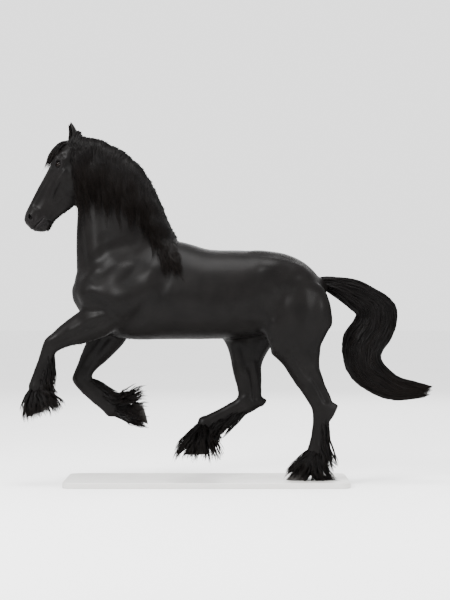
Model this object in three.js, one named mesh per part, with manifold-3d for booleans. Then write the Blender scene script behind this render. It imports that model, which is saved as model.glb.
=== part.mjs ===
// A Friesian horse, life size, in the first beat of a right canter: its left hind hoof bears it and the
// other three are lifted. It stands on a flat display base.
// Millimetres, +Z up. The horse faces -X and its left side faces -Y.
// The origin is the middle of the floor under the horse, on the underside of the base.
import * as THREE from 'three';
import { mergeVertices } from 'three/addons/utils/BufferGeometryUtils.js';
import Module from 'manifold-3d';

const wasm = await Module();
wasm.setup();

// Driving dimensions
const GAP = 0.35;
const BASE = { length: 1860, width: 700, thick: 36, corner: 70, edge: 4, middle: -130 };
const HOOF = { length: 150, width: 136, toeHeight: 80, heelHeight: 44, wallAngle: 50, crown: 104, crownWidth: 114 };
const HEAD = { poll: [-1050, 2277], slope: 62.4, length: 655 };
const EYE = { along: 214, below: 54, side: 80, radius: 23 };
const EAR = { length: 128, width: 62, along: 36, below: 62, side: 46 };
const NOSTRIL = { along: 606, below: 44, side: 50, length: 34, width: 14 };
const MOUTH = { front: [690, 90], corner: [560, 128], gape: 3.5, wide: 200 };

const NEAR = -1;
const FAR = 1;

// Joints of the legs in this pose, [x, z] above the base, and how far each is from the middle.
// flare is how far the feather stands off the foot before and behind, and hang is where its tips swing to
// there, [x, z].
const FORE_POSE = {
  left: {
    side: NEAR,
    elbow: [-764, 1068, 150], knee: [-1158, 880, 128], fetlock: [-1246, 604, 116], crown: [-1232, 500, 114],
    sole: [-1241, 434], pitch: -20, flare: [76, 72], hang: [[6, -26], [4, -40]],
  },
  right: {
    side: FAR,
    elbow: [-736, 1036, 150], knee: [-956, 666, 128], fetlock: [-752, 457, 118], crown: [-614, 428, 116],
    sole: [-543, 418], pitch: -105.8, flare: [22, 102], hang: [[0, 0], [10, 4]],
  },
};
const HIND_POSE = {
  left: {
    side: NEAR,
    hip: [419, 1274, 150], stifle: [388, 898, 158], hock: [628, 492, 126], fetlock: [592, 196, 112],
    crown: [508, 74, 110], sole: [464, 0], pitch: 0, flare: [10, 104], hang: [[-14, -14], [100, 0]],
  },
  right: {
    side: FAR,
    hip: [380, 1287, 150], stifle: [76, 983, 158], hock: [156, 514, 126], fetlock: [-134, 338, 112],
    crown: [-190, 222, 110], sole: [-213, 148.5], pitch: 0, flare: [90, 96], hang: [[0, -52], [6, 14]],
  },
};

// Ribs: a closed form is a row of upright sections, each with its upper and lower point seen from the side

// One rib. top and bottom are [x, z]; wide is its half width; widest is how far up it is widest;
// peak and keel are the powers of its upper and lower curve, 2 being an ellipse.
function rib(top, bottom, wide, shape = {}) {
  const { y = 0, widest = 0.5, peak = 2, keel = 2 } = shape;
  return [...top, ...bottom, y, wide, widest, peak, keel];
}

function smooth(a, b, c, d, t) {
  return b + 0.5 * t * (c - a + t * (2 * a - 5 * b + 4 * c - d + t * (3 * (b - c) + d - a)));
}

// A rib part way along a row of ribs, on a smooth curve through them.
function ribAt(ribs, place) {
  const i = Math.min(Math.floor(place), ribs.length - 2);
  const near = [i - 1, i, i + 1, i + 2].map((n) => ribs[Math.min(Math.max(n, 0), ribs.length - 1)]);
  return ribs[0].map((_, n) => smooth(...near.map((r) => r[n]), place - i));
}

function refine(ribs, steps) {
  const count = (ribs.length - 1) * steps;
  return Array.from({ length: count + 1 }, (_, i) => ribAt(ribs, i / steps));
}

const power = (value, exponent) => Math.sign(value) * Math.abs(value) ** exponent;

// A bulge pushes the sides out round a place in the side view: long and deep are its reach along and
// across its lean, and out is how far it stands out.
function bulge([x, z], lean, [long, deep], out) {
  const turn = THREE.MathUtils.degToRad(lean);
  const NARROW = 40;
  return (point) => {
    const [dx, dz] = [point.x - x, point.z - z];
    const a = (dx * Math.cos(turn) + dz * Math.sin(turn)) / long;
    const b = (dz * Math.cos(turn) - dx * Math.sin(turn)) / deep;
    const near = Math.max(0, 1 - a * a - b * b) ** 2;
    point.y += Math.sign(point.y) * out * near * Math.min(1, Math.abs(point.y) / NARROW);
  };
}

// The points round one rib, from its top over the left side, grown outwards by grow.
function ringOf([topX, topZ, bottomX, bottomZ, y, wide, widest, peak, keel], sides, grow, bulges) {
  const bottom = new THREE.Vector3(bottomX, y, bottomZ);
  const span = new THREE.Vector3(topX - bottomX, 0, topZ - bottomZ);
  const tall = span.length();
  const up = span.normalize();
  const centre = bottom.addScaledVector(up, widest * tall);
  const ring = [];
  for (let k = 0; k < sides; k++) {
    const angle = (2 * Math.PI * k) / sides;
    const rise = Math.cos(angle);
    const exponent = 2 / (rise >= 0 ? peak : keel);
    const reach = (rise >= 0 ? 1 - widest : widest) * tall + grow;
    const point = centre.clone().addScaledVector(up, power(rise, exponent) * reach);
    point.y -= power(Math.sin(angle), exponent) * (wide + grow);
    for (const push of bulges) push(point);
    ring.push(point);
  }
  return ring;
}

// Closes rings of points, each with the same number, between two end points.
function closedForm(rings, first, last) {
  const sides = rings[0].length;
  const points = [first, ...rings.flat(), last];
  const at = (r, k) => 1 + r * sides + (k % sides);
  const faces = [];
  for (let k = 0; k < sides; k++) {
    faces.push(0, at(0, k), at(0, k + 1));
    for (let r = 0; r < rings.length - 1; r++) {
      faces.push(at(r, k), at(r + 1, k), at(r + 1, k + 1));
      faces.push(at(r, k), at(r + 1, k + 1), at(r, k + 1));
    }
    faces.push(points.length - 1, at(rings.length - 1, k + 1), at(rings.length - 1, k));
  }
  let volume = 0;
  for (let i = 0; i < faces.length; i += 3) {
    const [a, b, c] = [points[faces[i]], points[faces[i + 1]], points[faces[i + 2]]];
    volume += a.dot(b.clone().cross(c));
  }
  const geometry = new THREE.BufferGeometry();
  geometry.setAttribute('position', new THREE.Float32BufferAttribute(points.flatMap((p) => [p.x, p.y, p.z]), 3));
  geometry.setIndex(volume < 0 ? faces.toReversed() : faces);
  return geometry;
}

// A closed form through ribs, with a dome of the given depth on each end.
function form(ribs, { sides = 12, steps = 1, domes = [20, 20], grow = 0, bulges = [] } = {}) {
  const rings = refine(ribs, steps).map((r) => ringOf(r, sides, grow, bulges));
  const middle = (ring) => ring.reduce((sum, p) => sum.add(p), new THREE.Vector3()).divideScalar(sides);
  const cap = (ring, inner, depth) => {
    const centre = middle(ring);
    const out = centre.clone().sub(middle(inner)).normalize();
    const shift = out.clone().multiplyScalar(depth * Math.sin(Math.PI / 4));
    const shrunk = ring.map((p) => p.clone().sub(centre).multiplyScalar(Math.cos(Math.PI / 4)).add(centre).add(shift));
    return { shrunk, tip: centre.addScaledVector(out, depth) };
  };
  const start = cap(rings[0], rings[1], domes[0] + grow);
  const end = cap(rings.at(-1), rings.at(-2), domes[1] + grow);
  return closedForm([start.shrunk, ...rings, end.shrunk], start.tip, end.tip);
}

// Solids
function solid(geometry) {
  const bare = geometry.index ? geometry.toNonIndexed() : geometry.clone();
  bare.deleteAttribute('normal');
  bare.deleteAttribute('uv');
  const merged = mergeVertices(bare, 1e-3);
  return new wasm.Manifold(new wasm.Mesh({
    numProp: 3,
    vertProperties: new Float32Array(merged.attributes.position.array),
    triVerts: new Uint32Array(merged.index.array),
  }));
}

const join = (pieces) => pieces.reduce((whole, piece) => whole.add(piece));

// What is left of a solid after cutting: its largest closed body.
function largest(made) {
  return made.decompose().sort((a, b) => b.volume() - a.volume())[0];
}

const cutClear = (made, cutters) => largest(cutters.reduce((rest, cutter) => rest.subtract(cutter), made));

function ball([x, y, z], [rx, ry, rz], turn = 0, detail = 12) {
  const sphere = new THREE.SphereGeometry(1, detail, Math.ceil(detail * 0.6));
  sphere.scale(rx, ry, rz);
  sphere.rotateY(THREE.MathUtils.degToRad(turn));
  sphere.translate(x, y, z);
  return sphere;
}

// Torso, from the breast to the buttocks
const TORSO = [
  rib([-962, 1384], [-980, 1136], 150, { keel: 1.8 }),
  rib([-900, 1430], [-905, 1022], 200, { peak: 2.2, keel: 1.8 }),
  rib([-769, 1500], [-769, 940], 232, { peak: 1.9, keel: 1.9, widest: 0.48 }),
  rib([-604, 1543], [-604, 912], 252, { peak: 1.75, keel: 1.9, widest: 0.46 }),
  rib([-439, 1560], [-439, 915], 276, { peak: 1.7, keel: 2, widest: 0.46 }),
  rib([-274, 1540], [-274, 917], 292, { peak: 1.8, keel: 2.1, widest: 0.45 }),
  rib([-109, 1504], [-109, 923], 302, { peak: 2, keel: 2.1, widest: 0.46 }),
  rib([89, 1497], [89, 932], 298, { peak: 2.1, keel: 2.1, widest: 0.47 }),
  rib([272, 1489], [272, 965], 280, { peak: 2.2, keel: 2, widest: 0.52 }),
  rib([420, 1459], [420, 1020], 264, { peak: 2.3, keel: 2, widest: 0.56 }),
  rib([545, 1382], [545, 1075], 210, { peak: 2.3, keel: 2, widest: 0.56 }),
  rib([624, 1300], [628, 1130], 130, { peak: 2.1, keel: 2 }),
];
const TORSO_BULGES = [
  // Shoulder blade, point of the shoulder, upper arm, hollow behind the elbow, point of the hip.
  bulge([-690, 1380], 50, [300, 120], 26),
  bulge([-880, 1225], 0, [150, 150], 36),
  bulge([-700, 1170], 20, [220, 170], 40),
  bulge([-520, 1060], 70, [220, 110], -16),
  bulge([300, 1400], 20, [150, 100], 22),
];
const TORSO_FORM = { sides: 20, steps: 2, domes: [40, 30], bulges: TORSO_BULGES };

const NECK = [
  rib([-954, 2205], [-1005, 1930], 70, { peak: 1.8 }),
  rib([-838, 2178], [-979, 1782], 84, { peak: 1.7, widest: 0.46 }),
  rib([-694, 2104], [-985, 1624], 104, { peak: 1.7, widest: 0.42 }),
  rib([-578, 1996], [-987, 1470], 128, { peak: 1.7, widest: 0.4 }),
  rib([-488, 1836], [-988, 1320], 158, { peak: 1.7, widest: 0.4 }),
  rib([-418, 1672], [-960, 1170], 190, { peak: 1.7, widest: 0.42 }),
  rib([-360, 1560], [-850, 1040], 214, { peak: 1.8, widest: 0.44 }),
];
const NECK_FORM = { sides: 16, steps: 2, domes: [30, 60] };

// Head: its own lengths run along the face from the poll and down from the line of the face
const SLOPE = THREE.MathUtils.degToRad(HEAD.slope);

function onHead(along, below) {
  return [
    HEAD.poll[0] - along * Math.cos(SLOPE) + below * Math.sin(SLOPE),
    HEAD.poll[1] - along * Math.sin(SLOPE) - below * Math.cos(SLOPE),
  ];
}

function onHeadSide(along, below, side) {
  const [x, z] = onHead(along, below);
  return [x, side, z];
}

const headRib = (along, face, jaw, wide, shape) => rib(onHead(along, face), onHead(along, jaw), wide, shape);
const headBulge = (along, below, lean, reach, out) => bulge(onHead(along, below), HEAD.slope + lean, reach, out);

const SKULL = [
  headRib(24, 62, 196, 58, { widest: 0.6 }),
  headRib(75, 24, 234, 84, { widest: 0.66, peak: 2.3 }),
  headRib(140, 4, 266, 95, { widest: 0.7, peak: 2.5, keel: 1.8 }),
  headRib(205, -2, 284, 96, { widest: 0.74, peak: 2.6, keel: 1.7 }),
  headRib(270, 0, 290, 84, { widest: 0.7, peak: 2.5, keel: 1.8 }),
  headRib(340, 1, 284, 70, { widest: 0.68, peak: 2.4, keel: 1.8 }),
  headRib(405, 1, 264, 60, { widest: 0.66, peak: 2.4, keel: 1.8 }),
  headRib(465, 2, 234, 53, { widest: 0.64, peak: 2.3, keel: 1.9 }),
  headRib(525, 3, 203, 50, { widest: 0.62, peak: 2.2 }),
  headRib(574, 4, 190, 52, { widest: 0.62, peak: 2.2 }),
  headRib(616, 8, 188, 54, { widest: 0.6, peak: 2.2 }),
  headRib(650, 26, 166, 46, { widest: 0.56 }),
  headRib(668, 60, 128, 26, {}),
];
const SKULL_BULGES = [
  // Cheek, brow, facial crest, the flare round the nostril, lips and chin.
  headBulge(262, 196, 0, [150, 110], 22),
  headBulge(196, 34, 6, [80, 46], 18),
  headBulge(340, 98, -8, [150, 40], 12),
  headBulge(596, 46, 0, [70, 52], 18),
  headBulge(640, 84, 0, [60, 50], 10),
  headBulge(600, 158, 0, [66, 44], 8),
];
const SKULL_FORM = { sides: 18, steps: 2, domes: [22, 6], bulges: SKULL_BULGES };

// A closed ring of flesh round a point: the lids of an eye or the rim of a nostril.
function rim(centre, tall, long, thick, lean, outward) {
  const STEPS = 12;
  const SIDES = 4;
  const points = [];
  for (let i = 0; i < STEPS; i++) {
    const turn = (2 * Math.PI * i) / STEPS;
    const along = Math.cos(turn) * long;
    const across = power(Math.sin(turn), 1.15) * tall;
    const swing = THREE.MathUtils.degToRad(lean);
    const a = along * Math.cos(swing) - across * Math.sin(swing);
    const b = along * Math.sin(swing) + across * Math.cos(swing);
    for (let k = 0; k < SIDES; k++) {
      const roll = (2 * Math.PI * k) / SIDES;
      const swell = 1 + (Math.cos(roll) * thick) / Math.hypot(along, across);
      const fall = outward * (Math.sin(roll) * thick - 0.12 * Math.abs(along));
      points.push(onHeadSide(centre[0] + a * swell, centre[1] + b * swell, centre[2] + fall));
    }
  }
  const at = (i, k) => (i % STEPS) * SIDES + (k % SIDES);
  const faces = [];
  for (let i = 0; i < STEPS; i++) {
    for (let k = 0; k < SIDES; k++) {
      faces.push(at(i, k), at(i + 1, k), at(i + 1, k + 1), at(i, k), at(i + 1, k + 1), at(i, k + 1));
    }
  }
  const geometry = new THREE.BufferGeometry();
  geometry.setAttribute('position', new THREE.Float32BufferAttribute(points.flat(), 3));
  geometry.setIndex(faces);
  const made = solid(geometry);
  return made.volume() < 0 ? solid(geometry.setIndex(faces.toReversed())) : made;
}

function eyeBall(side, grow) {
  const radius = EYE.radius + grow;
  return solid(ball(onHeadSide(EYE.along, EYE.below, side * EYE.side), [radius, radius, radius], 0, 10));
}

// The mouth: the thin gap between the lips, from the front of the muzzle to its corners.
function mouthCut() {
  const [front, corner] = [onHead(...MOUTH.front), onHead(...MOUTH.corner)];
  const long = Math.hypot(front[0] - corner[0], front[1] - corner[1]);
  const blade = new THREE.BoxGeometry(long, MOUTH.wide, MOUTH.gape);
  blade.rotateY(-Math.atan2(front[1] - corner[1], front[0] - corner[0]));
  blade.translate((front[0] + corner[0]) / 2, 0, (front[1] + corner[1]) / 2);
  return solid(blade);
}

// The flesh of the head, and what is cut from it: nostrils, mouth and the sockets of the eyes.
function headFlesh() {
  const rims =[NEAR, FAR].flatMap((side) => [
    rim([EYE.along, EYE.below, side * (EYE.side + 16)], 15, 24, 6, 12, side),
    rim([NOSTRIL.along, NOSTRIL.below, side * (NOSTRIL.side + 12)], 12, 20, 5, 55, side),
  ]);
  return join([solid(form(SKULL, SKULL_FORM)), ...rims]);
}

function headCuts() {
  const pits = [NEAR, FAR].map((side) => solid(
    ball(onHeadSide(NOSTRIL.along, NOSTRIL.below, side * (NOSTRIL.side + 12)),
      [NOSTRIL.length / 2, 22, NOSTRIL.width / 2 + 3], HEAD.slope - 55, 8),
  ));
  return [...pits, mouthCut(), eyeBall(NEAR, GAP), eyeBall(FAR, GAP)];
}

// Ear: a pointed cup, open to the front and outwards
function earCup(shrink, shift, top, grow) {
  const profile = [[-0.12, 0.5], [0.1, 0.72], [0.35, 1], [0.6, 0.86], [0.82, 0.48], [0.95, 0.16]];
  return solid(form(profile.map(([h, w]) => {
    const size = Math.max(EAR.width * 0.5 * w * shrink, 1.5);
    const z = h * EAR.length * top;
    return rib([shift - size * 0.8, z], [shift + size * 0.8, z], size);
  }), { sides: 8, domes: [4, 6], grow }));
}

function onEar(made, side) {
  const [x, y, z] = onHeadSide(EAR.along, EAR.below, side * EAR.side);
  const place = new THREE.Matrix4().makeTranslation(x, y, z)
    .multiply(new THREE.Matrix4().makeRotationX(side * -0.1))
    .multiply(new THREE.Matrix4().makeRotationY(THREE.MathUtils.degToRad(-4)))
    .multiply(new THREE.Matrix4().makeRotationZ(side * -0.5));
  return made.transform(place.elements);
}

function earSolid(side, headGrown) {
  const keepRoot = new THREE.BoxGeometry(200, 200, 200).translate(0, 0, -84);
  const inner = earCup(0.78, -EAR.width * 0.2, 0.93, 0).subtract(solid(keepRoot));
  return largest(onEar(earCup(1, 0, 1, 0).subtract(inner), side).subtract(headGrown));
}

// Limbs: bones from joint to joint, and the flesh before and behind each bone

// Flesh along the bones: [bone, share of its length, before, behind, half width].
const FOREARM = [
  [0, -0.16, 92, 84, 72], [0, 0.06, 104, 104, 78], [0, 0.25, 106, 106, 74], [0, 0.48, 98, 88, 62],
  [0, 0.7, 78, 66, 50], [0, 0.87, 62, 54, 46], [0, 1, 56, 52, 47],
];
const FORE_CANNON = [
  [0, -0.06, 52, 48, 46], [0, 0.1, 56, 50, 43], [0, 0.28, 54, 50, 34], [0, 0.6, 50, 52, 31],
  [0, 0.86, 52, 54, 36], [1, 0, 56, 56, 40], [1, 0.5, 48, 46, 42], [1, 1, 50, 50, 50],
];
const THIGH = [
  [0, 0, 205, 200, 110], [0, 0.3, 196, 266, 122], [0, 0.62, 172, 298, 118], [0, 0.9, 146, 262, 104],
  [1, 0.16, 122, 212, 88],
];
const GASKIN = [
  [0, 0.02, 112, 236, 84], [0, 0.2, 90, 206, 80], [0, 0.36, 86, 154, 70], [0, 0.56, 80, 104, 56],
  [0, 0.78, 74, 92, 46], [0, 0.94, 76, 104, 44],
];
const HIND_CANNON = [
  [0, -0.07, 66, 104, 44], [0, 0.08, 62, 84, 44], [0, 0.26, 44, 54, 35], [0, 0.58, 40, 52, 32],
  [0, 0.86, 48, 56, 37], [1, 0, 54, 58, 41], [1, 0.5, 44, 48, 42], [1, 1, 44, 50, 50],
];

// The line of a bone where a rib crosses it, turned half way to the next bone at a joint.
function boneAt(joints, bone, share) {
  const [from, to] = [joints[bone], joints[bone + 1]];
  const way = (n) => new THREE.Vector2(joints[n + 1][0] - joints[n][0], joints[n + 1][1] - joints[n][1]).normalize();
  const BEND = 0.3;
  const run = way(bone);
  if (bone > 0 && share < BEND) run.lerp(way(bone - 1), 0.5 * (1 - Math.max(share, 0) / BEND));
  if (bone < joints.length - 2 && share > 1 - BEND) run.lerp(way(bone + 1), (0.5 * (share - 1 + BEND)) / BEND);
  run.normalize();
  const [x, z, y] = [0, 1, 2].map((n) => THREE.MathUtils.lerp(from[n], to[n], share));
  return { x, y, z, front: new THREE.Vector2(run.y, -run.x) };
}

function limbRibs(joints, side, flesh) {
  return flesh.map(([bone, share, before, behind, wide]) => {
    const { x, y, z, front } = boneAt(joints, bone, share);
    return rib(
      [x + front.x * before, z + front.y * before],
      [x - front.x * behind, z - front.y * behind],
      wide,
      { y: side * y, widest: behind / (before + behind) },
    );
  });
}

// Hoof: a slanting wall from the sole to the crown, the toe towards -X before it is turned
function hoofForm({ side, crown, sole, pitch }, grow) {
  const wall = THREE.MathUtils.degToRad(HOOF.wallAngle);
  const SIDES = 16;
  const ringAt = (level) => {
    const ring = [];
    const front = HOOF.length / 2 - (level * HOOF.toeHeight) / Math.tan(wall);
    const back = front - THREE.MathUtils.lerp(HOOF.length * 0.93, HOOF.crown, level);
    const wide = THREE.MathUtils.lerp(HOOF.width, HOOF.crownWidth, level) / 2 + grow;
    const [middle, long] = [(front + back) / 2, (front - back) / 2 + grow];
    for (let k = 0; k < SIDES; k++) {
      const turn = (2 * Math.PI * k) / SIDES;
      const toe = (Math.cos(turn) + 1) / 2;
      const height = level * THREE.MathUtils.lerp(HOOF.heelHeight, HOOF.toeHeight, toe);
      const blunt = Math.cos(turn) < 0 ? 0.82 : 1;
      const x = -(middle + power(Math.cos(turn), blunt) * long);
      ring.push(new THREE.Vector3(x, wide * Math.sin(turn), height + (level > 0.5 ? grow : level ? 0 : -grow)));
    }
    return ring;
  };
  const rings = [0, 0.5, 1].map(ringAt);
  const centre = (ring) => ring.reduce((sum, p) => sum.add(p), new THREE.Vector3()).divideScalar(SIDES);
  const geometry = closedForm(rings, centre(rings[0]), centre(rings[2]));
  geometry.rotateY(THREE.MathUtils.degToRad(pitch));
  geometry.translate(sole[0], side * crown[2], sole[1]);
  return geometry;
}

// Hair: flat tapered locks, rooted in the flesh and lying along it
function seededRandom(seed) {
  let state = seed;
  return (low, high) => {
    state = (Math.imul(state, 1664525) + 1013904223) >>> 0;
    return THREE.MathUtils.lerp(low, high, state / 2 ** 32);
  };
}

// One lock through points: flat inside, with a ridge along its outside where the normals point, and
// drawn out to a point at its end. wide gives its width along it before it tapers.
function lock(points, normals, wide, thick, steps = 4) {
  const path = new THREE.CatmullRomCurve3(points);
  const taper = (share) => 1 - share ** 3;
  const rings = [];
  for (let i = 0; i < steps; i++) {
    const share = i / steps;
    const centre = path.getPoint(share);
    const along = path.getTangent(share);
    const place = share * (normals.length - 1);
    const from = Math.floor(place);
    const flat = normals[from].clone().lerp(normals[Math.min(from + 1, normals.length - 1)], place - from);
    const across = along.clone().cross(flat).normalize().multiplyScalar((wide(share) * taper(share)) / 2);
    const ridge = across.clone().cross(along).normalize().multiplyScalar(thick * taper(share));
    rings.push([across, ridge, across.clone().negate()].map((p) => p.add(centre)));
  }
  const root = path.getPoint(0).addScaledVector(path.getTangent(0), -thick * 0.3);
  return closedForm(rings, root, path.getPoint(1));
}

// How far out the flesh reaches on the left at a place in the side view, or null off its outline.
function leftSurface(meshes) {
  const ray = new THREE.Raycaster();
  return (x, z) => {
    ray.set(new THREE.Vector3(x, -1000, z), new THREE.Vector3(0, 1, 0));
    const [hit] = ray.intersectObjects(meshes);
    return hit ? hit.point.y : null;
  };
}

const meshOf = (geometry) => new THREE.Mesh(geometry, new THREE.MeshBasicMaterial({ side: THREE.DoubleSide }));

// Mane: it parts on the crest and falls on the left, in an under and an upper layer
const MANE = {
  layers: [
    { count: 8, from: 0.04, to: 0.9, fall: 450, lift: 6, rise: 14, wide: 112, thick: 20 },
    { count: 8, from: 0, to: 0.84, fall: 330, lift: 32, rise: 36, wide: 118, thick: 20 },
  ],
  drift: 84, sink: 30, over: 16, seed: 11,
};

function maneLocks(surfaceAt) {
  const draw = seededRandom(MANE.seed);
  const crest = new THREE.CatmullRomCurve3(NECK.map(([x, z]) => new THREE.Vector3(x, 0, z)));
  const left = new THREE.Vector3(0, -1, 0);
  return MANE.layers.flatMap(({ count, from, to, fall, lift, rise, wide, thick }) => {
    const locks = [];
    for (let i = 0; i < count; i++) {
      const share = THREE.MathUtils.lerp(from, to, i / (count - 1));
      const root = crest.getPoint(share);
      const out = new THREE.Vector3(-crest.getTangent(share).z, 0, crest.getTangent(share).x);
      const length = fall * draw(0.88, 1.08) * (1 - 0.36 * share);
      const sway = MANE.drift * draw(0.8, 1.2);
      const points = [
        root.clone().addScaledVector(out, -MANE.sink).setY(MANE.over),
        root.clone().addScaledVector(out, rise * draw(0.85, 1.15)).setY(-6),
      ];
      let y = -40;
      for (const down of [0.3, 0.65, 1]) {
        const x = root.x + sway * down - out.x * 20;
        const z = root.z - length * down;
        const beside = [-wide / 2, 0, wide / 2].map((w) => surfaceAt(x + w * (1 - down * 0.6), z) ?? y);
        y = Math.min(...beside, y + 20);
        points.push(new THREE.Vector3(x, y - lift, z));
      }
      const width = wide * draw(0.94, 1.04);
      locks.push(solid(lock(points, [out, out, left, left, left], () => width, thick, 4)));
    }
    return locks;
  });
}

// Forelock: it falls between the ears over the forehead
const FORELOCK = {
  layers: [
    { count: 2, spread: 76, fall: 190, lift: 2, wide: 44, thick: 20 },
    { count: 4, spread: 108, fall: 222, lift: 12, wide: 31, thick: 28 },
  ],
  seed: 23,
};

function forelockLocks() {
  const draw = seededRandom(FORELOCK.seed);
  const out = new THREE.Vector3(-Math.sin(SLOPE), 0, Math.cos(SLOPE));
  return FORELOCK.layers.flatMap(({ count, spread, fall, lift, wide, thick }) => {
    const locks = [];
    for (let i = 0; i < count; i++) {
      const share = (i + 0.5) / count - 0.5;
      const side = share * spread;
      const length = fall * draw(0.86, 1.05) * (1 - 0.4 * Math.abs(share));
      const points = [
        onHeadSide(52, 70, side * 0.5), onHeadSide(62, 20 - lift, side * 0.8),
        onHeadSide(62 + length * 0.5, -4 - lift, side * 1.2), onHeadSide(62 + length, -4, side),
      ].map((p) => new THREE.Vector3(...p));
      locks.push(solid(lock(points, [out], () => wide, thick, 4)));
    }
    return locks;
  });
}

// Tail: its outline is carried high in an arch, then swept down and back
const TAIL = [
  rib([590, 1330], [610, 1238], 30),
  rib([670, 1333], [650, 1228], 40),
  rib([800, 1312], [730, 1190], 58, { y: 6 }),
  rib([930, 1280], [800, 1130], 72, { y: 12 }),
  rib([1097, 1174], [850, 1085], 84, { y: 18 }),
  rib([1130, 1040], [840, 1040], 88, { y: 20 }),
  rib([1094, 925], [768, 940], 86, { y: 16 }),
  rib([1024, 825], [762, 838], 82, { y: 6 }),
  rib([1036, 752], [796, 694], 76, { y: -8 }),
  rib([1122, 674], [906, 586], 62, { y: -22 }),
  rib([1232, 642], [1086, 512], 46, { y: -34 }),
  rib([1326, 612], [1268, 530], 28, { y: -44 }),
  rib([1352, 592], [1340, 560], 12, { y: -48 }),
];
const TAIL_CORE = { reach: 0.5, share: 0.6 };
const TAIL_LAYERS = [
  { count: 6, start: 30, from: 0.02, to: 0.58, root: 0.3, drop: 1, cover: 1.06, thick: 26, steps: 5 },
  { count: 5, start: 18, from: 0.24, to: 0.8, root: 0.2, drop: 0.98, cover: 1.06, thick: 28, steps: 5 },
  { count: 5, start: -18, from: 0.44, to: 1, root: 0.2, drop: 0.96, cover: 1.2, thick: 30, steps: 5 },
  { count: 2, start: 90, from: 0.42, to: 1, root: 0, drop: 0.5, cover: 0.56, thick: 64, steps: 5 },
];
const TAIL_SEED = 37;

// A point in the section of a rib: turn goes round from its top over the left, reach is a share of its size.
function inRib([topX, topZ, bottomX, bottomZ, y, wide], turn, reach) {
  const [up, out] = [Math.cos(turn) * reach, Math.sin(turn) * reach];
  return new THREE.Vector3(
    (topX + bottomX) / 2 + ((topX - bottomX) / 2) * up,
    y - wide * out,
    (topZ + bottomZ) / 2 + ((topZ - bottomZ) / 2) * up,
  );
}

function tailLocks() {
  const draw = seededRandom(TAIL_SEED);
  return TAIL_LAYERS.flatMap(({ count, start, from, to, root, drop, cover, thick, steps }) => {
    const locks = [];
    for (let i = 0; i < count; i++) {
      const turn = (2 * Math.PI * i) / count + THREE.MathUtils.degToRad(start);
      const [first, last] = [from * draw(0.96, 1.1), to * draw(0.95, 1)];
      const sectionAt = (share) => ribAt(TAIL, THREE.MathUtils.lerp(first, last, share) * (TAIL.length - 1));
      const size = cover * draw(0.95, 1.05);
      const wide = (share) => {
        const [topX, topZ, bottomX, bottomZ, , half] = sectionAt(share);
        return (size * Math.PI * (half + Math.hypot(topX - bottomX, topZ - bottomZ) / 2)) / count;
      };
      const [points, normals] = [[], []];
      for (let k = 0; k <= steps; k++) {
        const share = k / steps;
        const section = sectionAt(share);
        const out = inRib(section, turn, 1).sub(inRib(section, turn, 0));
        const under = Math.max(0, 1 - (0.6 * thick * (1 - share ** 3)) / out.length());
        points.push(inRib(section, turn, k ? under * THREE.MathUtils.lerp(1, drop, share) : root));
        normals.push(out.normalize());
      }
      locks.push(solid(lock(points, normals, wide, thick, steps)));
    }
    return locks;
  });
}

// The tail's core is the dock, thinner than the hair and half as long.
function tailCore() {
  const kept = TAIL.slice(0, Math.ceil(TAIL.length * TAIL_CORE.reach));
  const thinner = kept.map((section, i) => {
    const share = i < 2 ? 0.9 : TAIL_CORE.share;
    const [top, bottom] = [inRib(section, 0, share), inRib(section, Math.PI, share)];
    return rib([top.x, top.z], [bottom.x, bottom.z], section[5] * share, { y: section[4] });
  });
  return solid(form(thinner, { sides: 8, domes: [10, 30] }));
}

// Planes across the tail where it is parted: [x, z] on the plane and its direction in degrees.
const TAIL_CUTS = [
  { at: [960, 1120], turn: -52 },
  { at: [905, 740], turn: -62 },
];

// The half of space beyond a cut, as a large block.
function beyond({ at, turn }, clearance) {
  const SIZE = 1600;
  const block = new THREE.BoxGeometry(SIZE, SIZE, SIZE).translate(SIZE / 2 + clearance, 0, 0);
  block.rotateY(THREE.MathUtils.degToRad(-turn));
  block.translate(at[0], 0, at[1]);
  return solid(block);
}

// Feather: long hair down the back of the cannon, and a skirt from the pastern over the hoof.
// Each tier: root and tip in bones along the leg, off as a share of the flare, and the turns round the
// leg from its front. flat is how far the locks behind the leg still face backwards.
const FEATHER = {
  tiers: [
    { root: 0.14, tip: 0.86, off: -0.04, wide: 54, thick: 22, turns: [152, 208] },
    { root: 0.5, tip: 1.5, off: 0.6, wide: 78, thick: 24, turns: [150, 210] },
    { root: 0.96, tip: 2.34, off: 1, wide: 106, thick: 20, turns: [22, 66, 110, 152, 208, 250, 294, 338] },
  ],
  narrow: 0.5, sink: 12, floor: 6, flat: 0.3, seed: 53,
};

// A point beside a limb: place counts bones along it and may go past the last joint, turn goes round from
// its front, and lift is the height over the flesh.
function besideLimb(joints, side, flesh, place, turn, lift) {
  const rank = ([bone, share]) => bone + share;
  const next = flesh.find((row) => rank(row) > place) ?? flesh.at(-1);
  const first = flesh.findLast((row) => rank(row) <= place) ?? flesh[0];
  const mix = next === first ? 0 : (place - rank(first)) / (rank(next) - rank(first));
  const [before, behind, wide] = [2, 3, 4].map((n) => THREE.MathUtils.lerp(first[n], next[n], mix));
  const bone = place < 1 ? 0 : 1;
  const { x, y, z, front } = boneAt(joints, bone, place - bone);
  const [cos, sin] = [Math.cos(turn), Math.sin(turn)];
  const reach = cos * ((cos > 0 ? before : behind) + lift);
  return new THREE.Vector3(x + front.x * reach, side * (y + sin * (wide + lift)), z + front.y * reach);
}

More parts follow.
